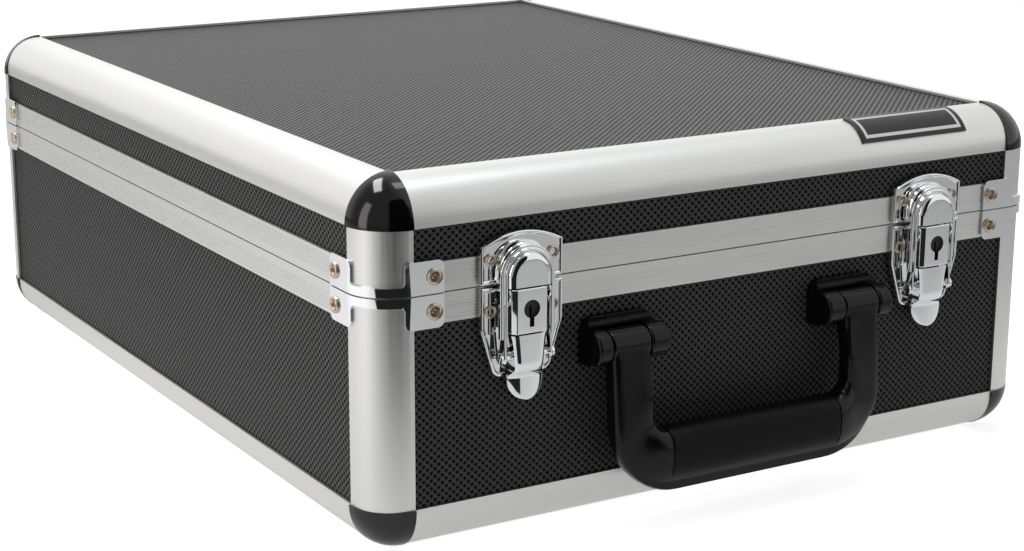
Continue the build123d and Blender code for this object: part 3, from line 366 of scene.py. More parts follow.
def rivets_for(name, body):
    """Modelled rivets in the places of the frame's rivets."""
    made = bmesh.new()
    for low, high in islands(name):
        centre, size = (low + high) / 2, high - low
        axis = X if abs(size.y - size.z) < abs(size.x - size.z) else Y
        side = -1 if centre[axis] < 0 else 1
        radius = size.z / 2
        way, seat = Vector((0, 0, 0)), centre.copy()
        way[axis] = side
        seat[axis] = (high if side > 0 else low)[axis] - side * RIVET_RISE
        hollow_rivet(made, seat, way, radius)
    finish_piece(f"{name}_hollow", made, nickel, body, "rivet", name)


for half in HALVES:
    rivets_for(f"{half}_clamp_rivets", half)


# Feet and screws
#
# Turned rubber feet under the base and on its back, each held by a zinc plated screw.

RUBBER = (0.018, 0.018, 0.018, 1.0)
ZINC = (0.62, 0.63, 0.64, 1.0)
dress(moulded("foot_rubber", RUBBER, 0.62, 0.75, 0.00002), "base_feet", "rear_feet")
zinc = plated("zinc", ZINC, 0.28, 0.40, 0.0001)
dress(zinc, "foot_screws", "handle_mount_screws")


# Hinges
#
# Two nickel plated steel butt hinges on the back, riveted through both closure strips.

HINGE_GREY = (0.70, 0.70, 0.71, 1.0)
rivets_for("hinge_base_rivets", "base")
rivets_for("hinge_lid_rivets", "lid")
hinge_steel = plated("hinge_steel", HINGE_GREY, 0.18, 0.30, 0.0002)
dress(hinge_steel, "hinge_base_leaves", "hinge_lid_leaves")
dress(zinc, "hinge_pins")


# Latches
#
# Chromed pressed steel: a catch plate on the lid, a base plate on the base, and a lever
# with a draw frame between them. The lock barrel turns behind the keyhole.

LOCK_BLACK = (0.010, 0.010, 0.010, 1.0)
LATCH_X = 110.2
PLATE_HALF = 20.0
PLATE_GAP = 0.6
PLATE_OUT = 1.8
CATCH_SIDE = 16.6
CATCH_TOP = 22.1
FOOT_HALF = 13.5
FOOT_SIDE = -18.6
FOOT_END = -39.7
ARCH_HALF = 12.0
ARCH_TOP = 17.7
ARCH_OUT = 5.0
HASP_HALF = 13.2
HASP_TOP = 17.2
HASP_LEGS = -22.2
BOSS_HALF = 10.3
BOSS_FOOT = -0.2
BOSS_OUT = 10.4
BOSS_SLOPE = 3.8
EYE_INNER = 10.4
EYE_THICK = 1.4
EYE_RADIUS = 2.9
HASP_PIVOT = (5.4, -30.8)
LEVER_PIVOT = (6.9, -3.1)
LUG_INNER = 9.2
LUG_THICK = 0.9
LUG_RADIUS = 2.6
KEY_HALF = 8.9
KEY_OUT = 10.5
KEY_BACK = 3.5
KEY_TOP = -0.9
KEY_FOOT = -20.2
KEY_BEVEL = 1.8
KEYHOLE = (-9.7, 3.9, 1.1, -17.4)
KEY_SHEET = 1.2
NECK_TOP = -20.9
NECK_FOOT = -36.5
NECK_HALF = 6.6
NECK_OUT = 9.9
NECK_BACK = 2.8
TAB_MIDDLE = -41.1
TAB_RADIUS = 8.8
TAB_OUT = 7.3
TAB_CROWN = 1.9
TAB_THICK = 3.4
TAB_EDGE = 0.4
NECK_CROWN = 0.3
NECK_EDGE = 1.2
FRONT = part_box("base_closure_frame")[0].y
PARTING = (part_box("base_corner_posts")[1].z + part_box("lid_corner_posts")[0].z) / 2


def at_front(x, out, z):
    """A place in metres, from millimetres across, out of the face and above the parting line."""
    return Vector((x * 0.001, FRONT - out * 0.001, PARTING + z * 0.001))


def rounded(corners, steps=8):
    """Points round a polygon of (x, z, radius) corners, taken anticlockwise."""
    points = []
    for index, (x, z, radius) in enumerate(corners):
        here = Vector((x, z))
        back = (Vector(corners[index - 1][:2]) - here).normalized()
        ahead = (Vector(corners[(index + 1) % len(corners)][:2]) - here).normalized()
        half = back.angle(ahead) / 2
        centre = here + (back + ahead).normalized() * radius / math.sin(half)
        start = here + back * radius / math.tan(half) - centre
        end = here + ahead * radius / math.tan(half) - centre
        for step in range(steps + 1):
            points.append(centre + start.lerp(end, step / steps).normalized() * radius)
    return points


def arched(half, top, foot, corner):
    """An outline with a half-round top."""
    feet = [(-half, foot, corner), (half, foot, corner)]
    return rounded(feet + [(half, top, half - 0.01), (-half, top, half - 0.01)], 12)


def inset(points, amount):
    """An anticlockwise outline moved inwards."""
    moved = []
    for index, here in enumerate(points):
        step = points[(index + 1) % len(points)] - points[index - 1]
        moved.append(here + Vector((-step.y, step.x)).normalized() * amount)
    return moved


def pressed(made, across, points, profile, lowest=-99.0, capped=True):
    """A pressed form: an outline that steps in and out as its profile says, cut off at its foot."""
    rings = []
    for amount, out in profile:
        rings.append([at_front(across + x, out, max(z, lowest)) for x, z in inset(points, amount)])
    skin(made, rings, last_cap=capped)


def slab(made, start, end, points):
    """A flat piece across X, from an outline of places out and up."""
    ease = min(0.25, (end - start) / 3)
    stations = ((start, ease), (start + ease, 0.0), (end - ease, 0.0), (end, ease))
    skin(made, [[at_front(x, out, z) for out, z in inset(points, amount)] for x, amount in stations])


RIM = [(0.0, 0.1), (0.0, 1.8), (0.15, 2.2), (0.5, 2.4), (1.1, 2.4), (1.5, 2.2), (1.8, 1.85),
       (2.2, PLATE_OUT)]


def catch_plate(made, across):
    """The plate on the lid with its rolled edge and the embossed arch."""
    low = PLATE_GAP
    rise = CATCH_TOP - CATCH_SIDE
    feet = [(-PLATE_HALF, low, 0.8), (PLATE_HALF, low, 0.8)]
    points = rounded(feet + [(PLATE_HALF, CATCH_SIDE, 0.8), (-PLATE_HALF, CATCH_SIDE, 0.8)], 6)[:14]
    for step in range(25):
        x = PLATE_HALF * (1 - step / 12)
        points.append(Vector((x, CATCH_TOP - rise * (x / PLATE_HALF) ** 2)))
    pressed(made, across, points, RIM)
    arch = arched(ARCH_HALF, ARCH_TOP, low + 0.3, 0.4)
    steps = [(-0.9, PLATE_OUT - 0.2), (-0.5, 2.0), (-0.1, 2.6), (0.2, 3.8), (0.7, 4.6)]
    steps += [(1.5, ARCH_OUT), (2.6, ARCH_OUT)]
    pressed(made, across, arch, steps)


def base_plate(made, across):
    """The tapered plate on the base with its rolled edge and the two ears of the lever."""
    top = -PLATE_GAP
    corners = [(-PLATE_HALF, top, 0.8), (-PLATE_HALF, FOOT_SIDE, 6.0), (-FOOT_HALF, FOOT_END, 4.5)]
    corners += [(FOOT_HALF, FOOT_END, 4.5), (PLATE_HALF, FOOT_SIDE, 6.0), (PLATE_HALF, top, 0.8)]
    pressed(made, across, rounded(corners, 8), RIM)
    out, z = LEVER_PIVOT
    ear = rounded([(1.5, z - 8, 0.5), (out + LUG_RADIUS, z - LUG_RADIUS, LUG_RADIUS - 0.01),
                   (out + LUG_RADIUS, z + LUG_RADIUS, LUG_RADIUS - 0.01), (1.5, z + LUG_RADIUS, 0.5)])
    for start in (-LUG_INNER - LUG_THICK, LUG_INNER):
        slab(made, across + start, across + start + LUG_THICK, ear)


def flat_cap(made, places):
    """The flat face in an arched outline, in level strips from its left to its right side."""
    rim = [made.verts.new(place) for place in places]
    half_way = len(rim) // 2
    for index in range(half_way - 1, len(rim) - half_way // 2 - 1):
        near, far = half_way - 1 - index, half_way - 2 - index
        made.faces.new((rim[index], rim[index + 1], rim[far], rim[near]))


def hasp(made, across):
    """The draw frame: a stepped bent rim, a raised boss and two eyes."""
    rim = rounded([(0.7, 4.9, 0.5), (0.7, 7.35, 0.6), (-0.6, 7.35, 0.3), (-1.0, 8.6, 0.4),
                   (-2.1, 8.6, 0.4), (-2.1, 5.4, 0.3)], 4)
    middle = HASP_HALF - 0.7
    centre = HASP_TOP - HASP_HALF
    path = [(-middle, HASP_LEGS, -1.0, 0.0), (-middle, (HASP_LEGS + centre) / 2, -1.0, 0.0)]
    for step in range(25):
        turn = math.pi * (1 - step / 24)
        sine, cosine = math.sin(turn), math.cos(turn)
        path.append((middle * cosine, centre + middle * sine, cosine, sine))
    path += [(middle, (HASP_LEGS + centre) / 2, 1.0, 0.0), (middle, HASP_LEGS, 1.0, 0.0)]
    rings = []
    for x, z, side_x, side_z in path:
        rings.append([at_front(across + x + side_x * away, out, z + side_z * away) for away, out in rim])
    skin(made, rings)
    boss = arched(BOSS_HALF + 0.6, centre + BOSS_HALF + 0.6, BOSS_FOOT - 24.0, 10.5)
    steps = [(0.0, 6.2), (0.0, 7.5), (0.5, 7.9), (0.9, 8.6), (1.2, 9.4), (1.9, 9.95), (2.9, 10.3)]
    steps.append((BOSS_SLOPE, BOSS_OUT))
    pressed(made, across, boss, steps, BOSS_FOOT, False)
    face = inset(boss, BOSS_SLOPE)
    flat_cap(made, [at_front(across + x, BOSS_OUT, max(z, BOSS_FOOT)) for x, z in face])
    out, z = HASP_PIVOT
    eye = rounded([(out - EYE_RADIUS, z - EYE_RADIUS, 2.8), (out + EYE_RADIUS, z - EYE_RADIUS, 2.8),
                   (7.2, HASP_LEGS + 3.5, 0.4), (4.9, HASP_LEGS + 3.5, 0.4)])
    for start in (-EYE_INNER - EYE_THICK, EYE_INNER):
        slab(made, across + start, across + start + EYE_THICK, eye)


def key_plate(made, across):
    """The upper lever: a channel with bevelled sides and the keyhole."""
    bevel = KEY_OUT - KEY_BEVEL
    flat = KEY_HALF - KEY_BEVEL
    section = rounded([(-KEY_HALF, KEY_BACK, 0.3), (KEY_HALF, KEY_BACK, 0.3), (KEY_HALF, bevel, 0.8),
                       (flat, KEY_OUT, 0.7), (-flat, KEY_OUT, 0.7), (-KEY_HALF, bevel, 0.8)], 4)
    stations = ((KEY_FOOT, 0.5), (KEY_FOOT + 0.15, 0.2), (KEY_FOOT + 0.5, 0.0),
                (KEY_TOP - 0.5, 0.0), (KEY_TOP - 0.15, 0.2), (KEY_TOP, 0.5))
    rings = [[at_front(across + x, out, z) for x, out in inset(section, ease)] for z, ease in stations]
    skin(made, rings)
    middle, radius, slot, foot = KEYHOLE
    start = math.asin(slot / radius)
    hole = [Vector((slot, foot)), Vector((slot, middle - radius * math.cos(start)))]
    for step in range(1, 32):
        turn = start + (2 * math.pi - 2 * start) * step / 32 - math.pi / 2
        hole.append(Vector((radius * math.cos(turn), middle + radius * math.sin(turn))))
    hole += [Vector((-slot, middle - radius * math.cos(start))), Vector((-slot, foot))]
    made.normal_update()
    front = [face for face in made.faces if abs(face.normal.y) > 0.99 and len(face.verts) == 4]
    front = [face for face in front if face.calc_center_median().y < at_front(0, KEY_OUT - 0.05, 0).y]
    face = max(front, key=lambda one: one.calc_area())
    corners = [vertex.co.copy() for vertex in face.verts]
    made.faces.remove(face)
    rim = [at_front(across + x, KEY_OUT, z) for x, z in hole]
    every = corners + rim
    for three in tessellate_polygon([corners, rim]):
        made.faces.new([made.verts.new(every[index]) for index in three])
    well = [[at_front(across + x, out, z) for x, z in hole] for out in (KEY_OUT, KEY_OUT - KEY_SHEET)]
    skin(made, well, False, False)


def neck_and_tab(made, across):
    """The lower lever, which narrows down to the round finger tab."""
    levels = [NECK_TOP + (NECK_FOOT - NECK_TOP) * step / 8 for step in range(9)]
    levels += [NECK_FOOT + (TAB_MIDDLE - NECK_FOOT) * step / 6 for step in range(1, 7)]
    levels += [TAB_MIDDLE - TAB_RADIUS * math.sin(math.radians(step * 6)) for step in range(1, 15)]
    levels += [TAB_MIDDLE - TAB_RADIUS * share for share in (0.997, 0.9995)]
    rings = []
    for z in levels:
        down = min(1.0, (z - NECK_TOP) / (NECK_FOOT - NECK_TOP))
        narrow = KEY_HALF - 0.3 + (NECK_HALF - KEY_HALF + 0.3) * down ** 0.7
        wide = math.sqrt(max(0.0, TAB_RADIUS ** 2 - (z - TAB_MIDDLE) ** 2))
        fold = min(1.0, max(0.0, (NECK_FOOT + 1.5 - z) / (NECK_FOOT - TAB_MIDDLE)))
        fold = fold * fold * (3 - 2 * fold)
        half = narrow + (wide - narrow) * fold if z > TAB_MIDDLE else wide
        half = max(half, 0.3)
        crown = NECK_OUT + (TAB_OUT - NECK_OUT) * fold
        edge_drop = NECK_EDGE + (TAB_EDGE - NECK_EDGE) * fold
        crown_drop = NECK_CROWN + (TAB_CROWN - NECK_CROWN) * fold
        back = NECK_BACK + (TAB_OUT - TAB_THICK - NECK_BACK) * fold
        ring = []
        for step in range(17):
            share = math.cos(math.pi * (1 - step / 16))
            drop = edge_drop * abs(share) ** 7 + crown_drop * (half * share / TAB_RADIUS) ** 2
            ring.append((half * share, crown - drop))
        ring += [(half, back + 0.1), (half * 0.96, back), (-half * 0.96, back), (-half, back + 0.1)]
        rings.append([at_front(across + x, out, z) for x, out in ring])
    skin(made, rings)


def made_for(parts, places):
    """One skin with each part at each place across."""
    made = bmesh.new()
    for across in places:
        for part in parts:
            part(made, across)
    return made


both = (-LATCH_X, LATCH_X)
upper = made_for([catch_plate], both)
finish_piece("catch_plates", upper, chrome, "lid", "chrome", "latch_catch_plates")
lower = made_for([base_plate], both)
finish_piece("base_plates", lower, chrome, "base", "chrome", "latch_base_plates")
dress(chrome, "latch_lever_pins")
rivets_for("latch_base_rivets", "base")
rivets_for("latch_catch_rivets", "lid")
for side, across in zip(("left", "right"), both):
    bent = made_for([hasp], [across])
    body, node = f"{side}_hasp", f"{side}_latch_hasp"
    finish_piece(f"{side}_draw_frame", bent, chrome, body, "chrome", node)
    stamped = made_for([key_plate, neck_and_tab], [across])
    body, node = f"{side}_lever", f"{side}_latch_lever"
    finish_piece(f"{side}_lever_pressing", stamped, chrome, body, "chrome", node)
    dress(chrome, f"{side}_hasp_pin")
    dress(moulded(f"{side}_lock_black", LOCK_BLACK, 0.5, 0.6, 0.00001), f"{side}_lock_plug")


# Handle
#
# A moulded black bow that swings on two mounts, with a softer grip moulded over its bar.

BOW_BLACK = (0.0025, 0.0025, 0.0025, 1.0)
GRIP_BLACK = (0.0025, 0.0025, 0.0022, 1.0)
PIVOT_DROP = 32.2
PIVOT_OUT = 8.9
HUB_RADIUS = 7.4
HUB_HALF = 9.6
HUB_ENDS = ((-1.0, 0.86), (-0.96, 0.96), (-0.88, 1.0), (0.88, 1.0), (0.96, 0.96), (1.0, 0.86))
MOUNT_EASE = 0.0008
ARM_X = 62.9
ARM_HALF = 9.6
ARM_THICK = 9.5
ARM_OUT = 20.0
HUB_OUT = 16.3
SLOPE_START = -3.0
SLOPE_INNER = -20.0
SLOPE_OUTER = -46.0
TURN_START = -35.3
OUTER_TURN = (40.5, 32.0)
INNER_TURN = 6.4
GRIP_HALF = 46.4
GRIP_TOP = -38.5
GRIP_FOOT = -62.0
GRIP_OUT = 24.3
GRIP_THICK = 17.4
SEAM = 0.5
LEAST_RIM = 0.167


def bow_section(outer, inner, blend, slim):
    """A section between the outer and the inner edge, from a plain arm to a collar of the grip."""
    rim = max(LEAST_RIM, (GRIP_FOOT - outer[1]) / max(1.0, inner[1] - outer[1]))
    front, back = GRIP_OUT - SEAM * slim, GRIP_OUT - GRIP_THICK + SEAM * slim
    arm_back = ARM_OUT - ARM_THICK
    arm = [(0.0, 0.72), (0.0, 0.5), (0.0, 0.28), (0.03, 0.1), (0.1, 0.0), (0.3, 0.0), (0.5, 0.0)]
    arm += [(0.75, 0.0), (0.9, 0.0), (0.97, 0.1), (1.0, 0.28), (1.0, 0.46), (1.0, 0.5), (1.0, 0.54)]
    arm += [(1.0, 0.72), (0.97, 0.9), (0.9, 1.0), (0.7, 1.0), (0.5, 1.0), (0.3, 1.0), (0.1, 1.0)]
    arm.append((0.03, 0.9))
    collar = [(0.0, (2 * front + 3 * back) / 5), (0.0, (front + back) / 2), (0.02, front - 6.0)]
    collar += [(0.07, front - 3.0), (0.17, front - 0.8), (0.34, front), (0.55, front - 0.2)]
    collar += [(0.70, front - 1.4), (1 - rim, ARM_OUT + 0.9), (1.02 - rim, ARM_OUT + 0.1)]
    collar += [(0.97, ARM_OUT - 0.2), (1.0, ARM_OUT - 2.0), (1.0, ARM_OUT - 4.5), (1.0, ARM_OUT - 7.0)]
    collar += [(0.98, arm_back + 0.6), (0.93, arm_back), (1.0 - rim, arm_back)]
    collar += [(0.98 - rim, arm_back - 1.0), (0.62, back + 0.4), (0.40, back)]
    collar += [(0.17, back + 0.8), (0.04, back + 4.0)]
    points = []
    for (arm_share, depth), (share, out) in zip(arm, collar):
        across = arm_share + (share - arm_share) * blend
        x = inner[0] + (outer[0] - inner[0]) * across
        z = inner[1] + (outer[1] - inner[1]) * across
        slope_end = SLOPE_INNER + (SLOPE_OUTER - SLOPE_INNER) * across
        slope = min(1.0, max(0.0, (SLOPE_START - z) / (SLOPE_START - slope_end)))
        arm_front = HUB_OUT + (ARM_OUT - HUB_OUT) * slope
        plain = arm_front + (arm_back - 4.0 * (1 - slope) - arm_front) * depth
        points.append((x, plain + (out - plain) * blend, z))
    return points


def bow_stations():
    """Sections from the right hub down the arm, round the corner and along the bar."""
    stations = []
    outer_x, inner_x = ARM_X + ARM_HALF, ARM_X - ARM_HALF
    inner_start = GRIP_TOP + INNER_TURN
    for step in range(15):
        outer_z = -1.0 + (TURN_START + 1.0) * step / 14
        inner_z = -1.0 + (inner_start + 1.0) * step / 14
        stations.append(bow_section((outer_x, outer_z), (inner_x, inner_z), 0.0, 0))
    middle, radius = OUTER_TURN
    seam_turn = math.acos((GRIP_HALF + 0.1 - middle) / radius)
    for step in range(1, 21):
        share = step / 20
        turn = seam_turn * share
        outer = (middle + radius * math.cos(turn), TURN_START - radius * math.sin(turn))
        turn = math.pi / 2 * share
        inner_along = inner_x - (inner_x - GRIP_HALF - 0.1) * (1 - math.cos(turn))
        inner = (inner_along, inner_start - INNER_TURN * math.sin(turn))
        blend = max(0.0, (share - 0.1) / 0.9)
        blend = blend * blend * (3 - 2 * blend)
        stations.append(bow_section(outer, inner, blend, 0))
    for x in (GRIP_HALF, GRIP_HALF - 2, 43.0, middle, 25.0, 10.0, 0.0):
        turn = math.acos(max(0.0, x - middle) / radius)
        foot = TURN_START - radius * math.sin(turn)
        stations.append(bow_section((x, foot), (x, GRIP_TOP - SEAM), 1.0, 1))
    return stations


def handle_bow():
    """The moulded bow with its two hubs."""
    made = bmesh.new()
    right = bow_stations()
    left = [[(-x, out, z) for x, out, z in ring] for ring in reversed(right[:-1])]
    rings = [[at_front(x, out, z - PIVOT_DROP) for x, out, z in ring] for ring in right + left]
    skin(made, rings)
    for side in (-1, 1):
        rings = []
        for step, radius in HUB_ENDS:
            ring = []
            for part in range(32):
                turn = math.radians(360 * part / 32)
                out = PIVOT_OUT + HUB_RADIUS * radius * math.cos(turn)
                z = HUB_RADIUS * radius * math.sin(turn) - PIVOT_DROP
                ring.append(at_front(side * ARM_X + HUB_HALF * step, out, z))
            rings.append(ring)
        skin(made, rings)
    return made


def handle_grip():
    """The soft grip: a full rounded section with eased ends."""
    made = bmesh.new()
    middle_z, half_z = (GRIP_TOP + GRIP_FOOT) / 2, (GRIP_TOP - GRIP_FOOT) / 2
    middle_out, half_out = GRIP_OUT - GRIP_THICK / 2, GRIP_THICK / 2
    rings = []
    ends = ((0.0, 1.2), (0.15, 0.6), (0.6, 0.15), (1.5, 0.0))
    stations = [(-GRIP_HALF + step, ease) for step, ease in ends]
    stations += [(-20.0, 0.0), (0.0, 0.0), (20.0, 0.0)]
    stations += [(GRIP_HALF - step, ease) for step, ease in reversed(ends)]
    for x, ease in stations:
        ring = []
        for part in range(48):
            turn = math.radians(360 * part / 48)
            cosine, sine = math.cos(turn), math.sin(turn)
            out = middle_out + (half_out - ease) * math.copysign(abs(cosine) ** 0.77, cosine)
            z = middle_z + (half_z - ease) * math.copysign(abs(sine) ** 0.77, sine)
            ring.append(at_front(x, out, z - PIVOT_DROP))
        rings.append(ring)
    skin(made, rings)
    return made


bow_finish = moulded("handle_plastic", BOW_BLACK, 0.18, 0.26, 0.000004, 0.28)
dress(bow_finish, "handle_mounts", "handle_pins")
finish_piece("moulded_bow", handle_bow(), bow_finish, "handle", "handle_plastic", "handle_bow")
grip_finish = moulded("grip_rubber", GRIP_BLACK, 0.38, 0.48, 0.00002, 0.14)
finish_piece("soft_grip", handle_grip(), grip_finish, "handle", "handle_plastic", "handle_grip")
ease_edges(MOUNT_EASE, "handle_mounts")


# Badge plate
#
# A thin black plate bent round the front top edge and glued on, blank inside a silver line.

BADGE_BLACK = (0.0025, 0.0025, 0.0025, 1.0)
BADGE_SILVER = (0.62, 0.62, 0.62, 1.0)
PRINT_EDGE = 0.0001
BADGE_BORDER = 0.0024
BADGE_LINE = 0.0016
EDGE_CENTRE = 0.018


def badge_finish():
    """Black lacquer with one printed silver line inside its border."""
    finish, tree, shader = start_material("badge_black")
    low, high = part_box("badge_plate")
    place = add_node(tree, "ShaderNodeTexCoord").outputs["Object"]
    axes = add_node(tree, "ShaderNodeSeparateXYZ", None, {0: place}).outputs
    centre_y, centre_z = FRONT + EDGE_CENTRE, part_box("lid_edge_front")[1].z - EDGE_CENTRE
    behind = maths(tree, "SUBTRACT", centre_y, axes[Y])
    above = maths(tree, "SUBTRACT", axes[Z], centre_z)
    turn = maths(tree, "ARCTAN2", above, behind)
    first = math.atan2(low.z - centre_z, centre_y - low.y)
    last = math.atan2(high.z - centre_z, centre_y - high.y)
    round_way = maths(tree, "ABSOLUTE", maths(tree, "SUBTRACT", turn, (first + last) / 2))
    turn_left = maths(tree, "SUBTRACT", (last - first) / 2, round_way)
    from_end = maths(tree, "MULTIPLY", turn_left, EDGE_CENTRE)
    along = maths(tree, "ABSOLUTE", maths(tree, "SUBTRACT", axes[X], (low.x + high.x) / 2))
    from_side = maths(tree, "SUBTRACT", (high.x - low.x) / 2, along)
    inside = maths(tree, "MINIMUM", from_end, from_side)
    starts = spread(tree, inside, BADGE_BORDER - PRINT_EDGE, BADGE_BORDER + PRINT_EDGE)
    line_end = BADGE_BORDER + BADGE_LINE
    stops = spread(tree, inside, line_end - PRINT_EDGE, line_end + PRINT_EDGE)
    line = maths(tree, "SUBTRACT", starts, stops)
    tree.links.new(blend_colours(tree, line, BADGE_BLACK, BADGE_SILVER), shader.inputs["Base Color"])
    tree.links.new(spread(tree, line, 0.0, 1.0, 0.0, 0.9), shader.inputs["Metallic"])
    patches = grain(tree, (60, 60, 60))
    tree.links.new(spread(tree, patches, 0.3, 0.7, 0.28, 0.36), shader.inputs["Roughness"])
    return finish


dress(badge_finish(), "badge_plate")


# Foam
#
# Charcoal open-cell foam: a pad and wall strips in both halves, held by their own fit.

FOAM_GREY = (0.030, 0.030, 0.032, 1.0)
FOAM_EASE = 0.0025
FOAM_SWELL = 0.0006
FOAM_STEP = 0.012
PORES = 900.0


def foam_finish():
    """Open-cell foam: pores coloured darker, which is painted shade, in a soft matt skin."""
    finish, tree, shader = start_material("open_cell_foam")
    place = add_node(tree, "ShaderNodeTexCoord").outputs["Object"]
    pores = add_node(tree, "ShaderNodeTexVoronoi", {"feature": "F1"}, {"Vector": place, "Scale": PORES})
    depth = spread(tree, pores.outputs["Distance"], 0.1, 0.6)
    # Painted shade: the pores take a colour at a third of the foam's grey.
    dark = tuple(value * 0.3 for value in FOAM_GREY[:3]) + (1.0,)
    tree.links.new(blend_colours(tree, depth, dark, FOAM_GREY), shader.inputs["Base Color"])
    shader.inputs["Roughness"].default_value = 0.95
    raise_surface(tree, shader, depth, 0.0004)
    return finish


def foam_block(made, low, high, rng):
    """A cut block of foam: soft edges and faces that are a little uneven."""
    size = high - low
    counts = [max(3, min(40, int(length / FOAM_STEP))) for length in size]
    cube = bmesh.new()
    bmesh.ops.create_cube(cube, size=2.0)
    for axis in range(3):
        for step in range(1, counts[axis]):
            normal = Vector([1.0 if index == axis else 0.0 for index in range(3)])
            cut = math.sin(math.pi * (step / counts[axis] - 0.5))
            every = cube.verts[:] + cube.edges[:] + cube.faces[:]
            bmesh.ops.bisect_plane(cube, geom=every, plane_co=normal * cut, plane_no=normal)
    half, centre = size / 2, (low + high) / 2
    ease = min(FOAM_EASE, min(half) * 0.45)
    for vertex in cube.verts:
        place = Vector([vertex.co[axis] * half[axis] for axis in range(3)])
        core = Vector([max(-half[axis] + ease, min(half[axis] - ease, place[axis])) for axis in range(3)])
        over = place - core
        if over.length > 0:
            place = core + over.normalized() * min(ease, over.length)
        inward = Vector([-math.copysign(1, value) if abs(value) > 0.999 else 0.0 for value in vertex.co])
        vertex.co = centre + place + inward * rng.random() * FOAM_SWELL
    mesh = bpy.data.meshes.new("cut_foam")
    cube.to_mesh(mesh)
    cube.free()
    made.from_mesh(mesh)
    bpy.data.meshes.remove(mesh)


foam = foam_finish()
rng = random.Random(7)
for name in ("base_floor_foam", "base_wall_foam", "lid_foam", "lid_wall_foam"):
    made = bmesh.new()
    for low, high in islands(name):
        foam_block(made, low, high, rng)
    pad = finish_piece(f"{name}_cut", made, foam, name.split("_")[0], "foam", name)


# Studio
#
# A white table that runs into a white background, soft lamps at the left and above, painted dark
# sheets towards and behind the camera that only the metal's reflections see, a painted pool of light
# round the case and painted surroundings in those reflections, and the camera at the photograph's place.

FLOOR_HALF = 6.0
CAMERA_PLACE = (-0.561343, -0.970719, 0.347577)
CAMERA_YAW = math.radians(31.038)
CAMERA_PITCH = math.radians(-14.817)
CAMERA_ROLL = math.radians(0.215)
CAMERA_LENS = 76.03
TABLE_GLOW = 0.80
# Painted light in reflections only: a glowing pool round the case, and farther off the table's colour
# lowered as painted shade.
POOL_MIDDLE = (-0.225, -0.065)
POOL_HALF = (0.475, 0.165)
POOL_FADE = 0.30
POOL_IN_METAL = 0.42
TABLE_IN_METAL = 0.70
POOL_GLOW = 0.50
POOL_FAR_GLOW = 0.72
GLOW_CHANGE = (-0.52, -0.30)
TABLE_WHITE = 0.8
AMBIENT = 0.29
# Painted reflections: world brightness that only glossy rays see, brightest towards the back and darkest
# at the left.
BACK_PAINTED_REFLECTION = 1.15
LEFT_PAINTED_REFLECTION = 0.35
RIGHT_PAINTED_REFLECTION = 0.90
# Painted dark sheets, seen only in reflections: one on the table from the case's front to beyond the
# camera, one standing up beyond the camera.
DARK_FRONT = -0.42
DARK_LEFT = -0.62
DARK_RIGHT = -0.08
DARK_FAR = -2.2
DARK_FAR_LEFT = -1.35
DARK_FAR_RIGHT = 0.62
DARK_TOP = 3.4
DARK_LIFT = 0.002
DARK_TONE = (0.02, 0.02, 0.02, 1.0)
SIDE_TURN = (-0.1, 0.4)
BACK_TURN = (0.45, 0.85)


def table_finish():
    """White table, lifted for the camera; only reflections see a painted pool of light round the case,
    and the table painted darker farther off.
    """
    finish, tree, shader = start_material("white_table")
    place = add_node(tree, "ShaderNodeTexCoord").outputs["Object"]
    axes = add_node(tree, "ShaderNodeSeparateXYZ", None, {0: place}).outputs
    away = []
    for axis in (X, Y):
        offset = maths(tree, "ABSOLUTE", maths(tree, "SUBTRACT", axes[axis], POOL_MIDDLE[axis]))
        past = maths(tree, "MAXIMUM", maths(tree, "SUBTRACT", offset, POOL_HALF[axis]), 0.0)
        away.append(maths(tree, "MULTIPLY", past, past))
    distance = maths(tree, "SQRT", maths(tree, "ADD", *away))
    pool = spread(tree, distance, 0.0, POOL_FADE, 1.0, 0.0)
    path = add_node(tree, "ShaderNodeLightPath").outputs
    in_metal = maths(tree, "MAXIMUM", path["Is Glossy Ray"], path["Is Transmission Ray"])
    # Painted shade in reflections: the table's colour drops to TABLE_IN_METAL away from the pool, and to
    # POOL_IN_METAL inside it.
    mirrored = spread(tree, pool, 0.0, 1.0, TABLE_IN_METAL, POOL_IN_METAL)
    change = maths(tree, "SUBTRACT", mirrored, TABLE_WHITE)
    tone = maths(tree, "MULTIPLY_ADD", in_metal, change, TABLE_WHITE)
    tree.links.new(tone, shader.inputs["Base Color"])
    shader.inputs["Roughness"].default_value = 0.9
    shader.inputs["Specular IOR Level"].default_value = 0.0
    shader.inputs["Emission Color"].default_value = (1.0, 1.0, 1.0, 1.0)
    seen = maths(tree, "MULTIPLY", path["Is Camera Ray"], TABLE_GLOW)
    # Painted pool of light: a glow that only reflections see, stronger at the far left.
    glow = spread(tree, axes[X], *GLOW_CHANGE, POOL_FAR_GLOW, POOL_GLOW)
    painted_pool_glow = maths(tree, "MULTIPLY", maths(tree, "MULTIPLY", pool, in_metal), glow)
    tree.links.new(maths(tree, "ADD", seen, painted_pool_glow), shader.inputs["Emission Strength"])
    return finish


def flat_sheet(name, corners, finish):
    """A flat stage surface through four corners."""
    mesh = bpy.data.meshes.new(name)
    mesh.from_pydata(corners, [], [tuple(range(len(corners)))])
    mesh.materials.append(finish)
    sheet = bpy.data.objects.new(name, mesh)
    bpy.context.scene.collection.objects.link(sheet)
    return sheet


corners = [(x * FLOOR_HALF, y * FLOOR_HALF, 0) for x, y in ((-1, -1), (1, -1), (1, 1), (-1, 1))]
flat_sheet("table", corners, table_finish())


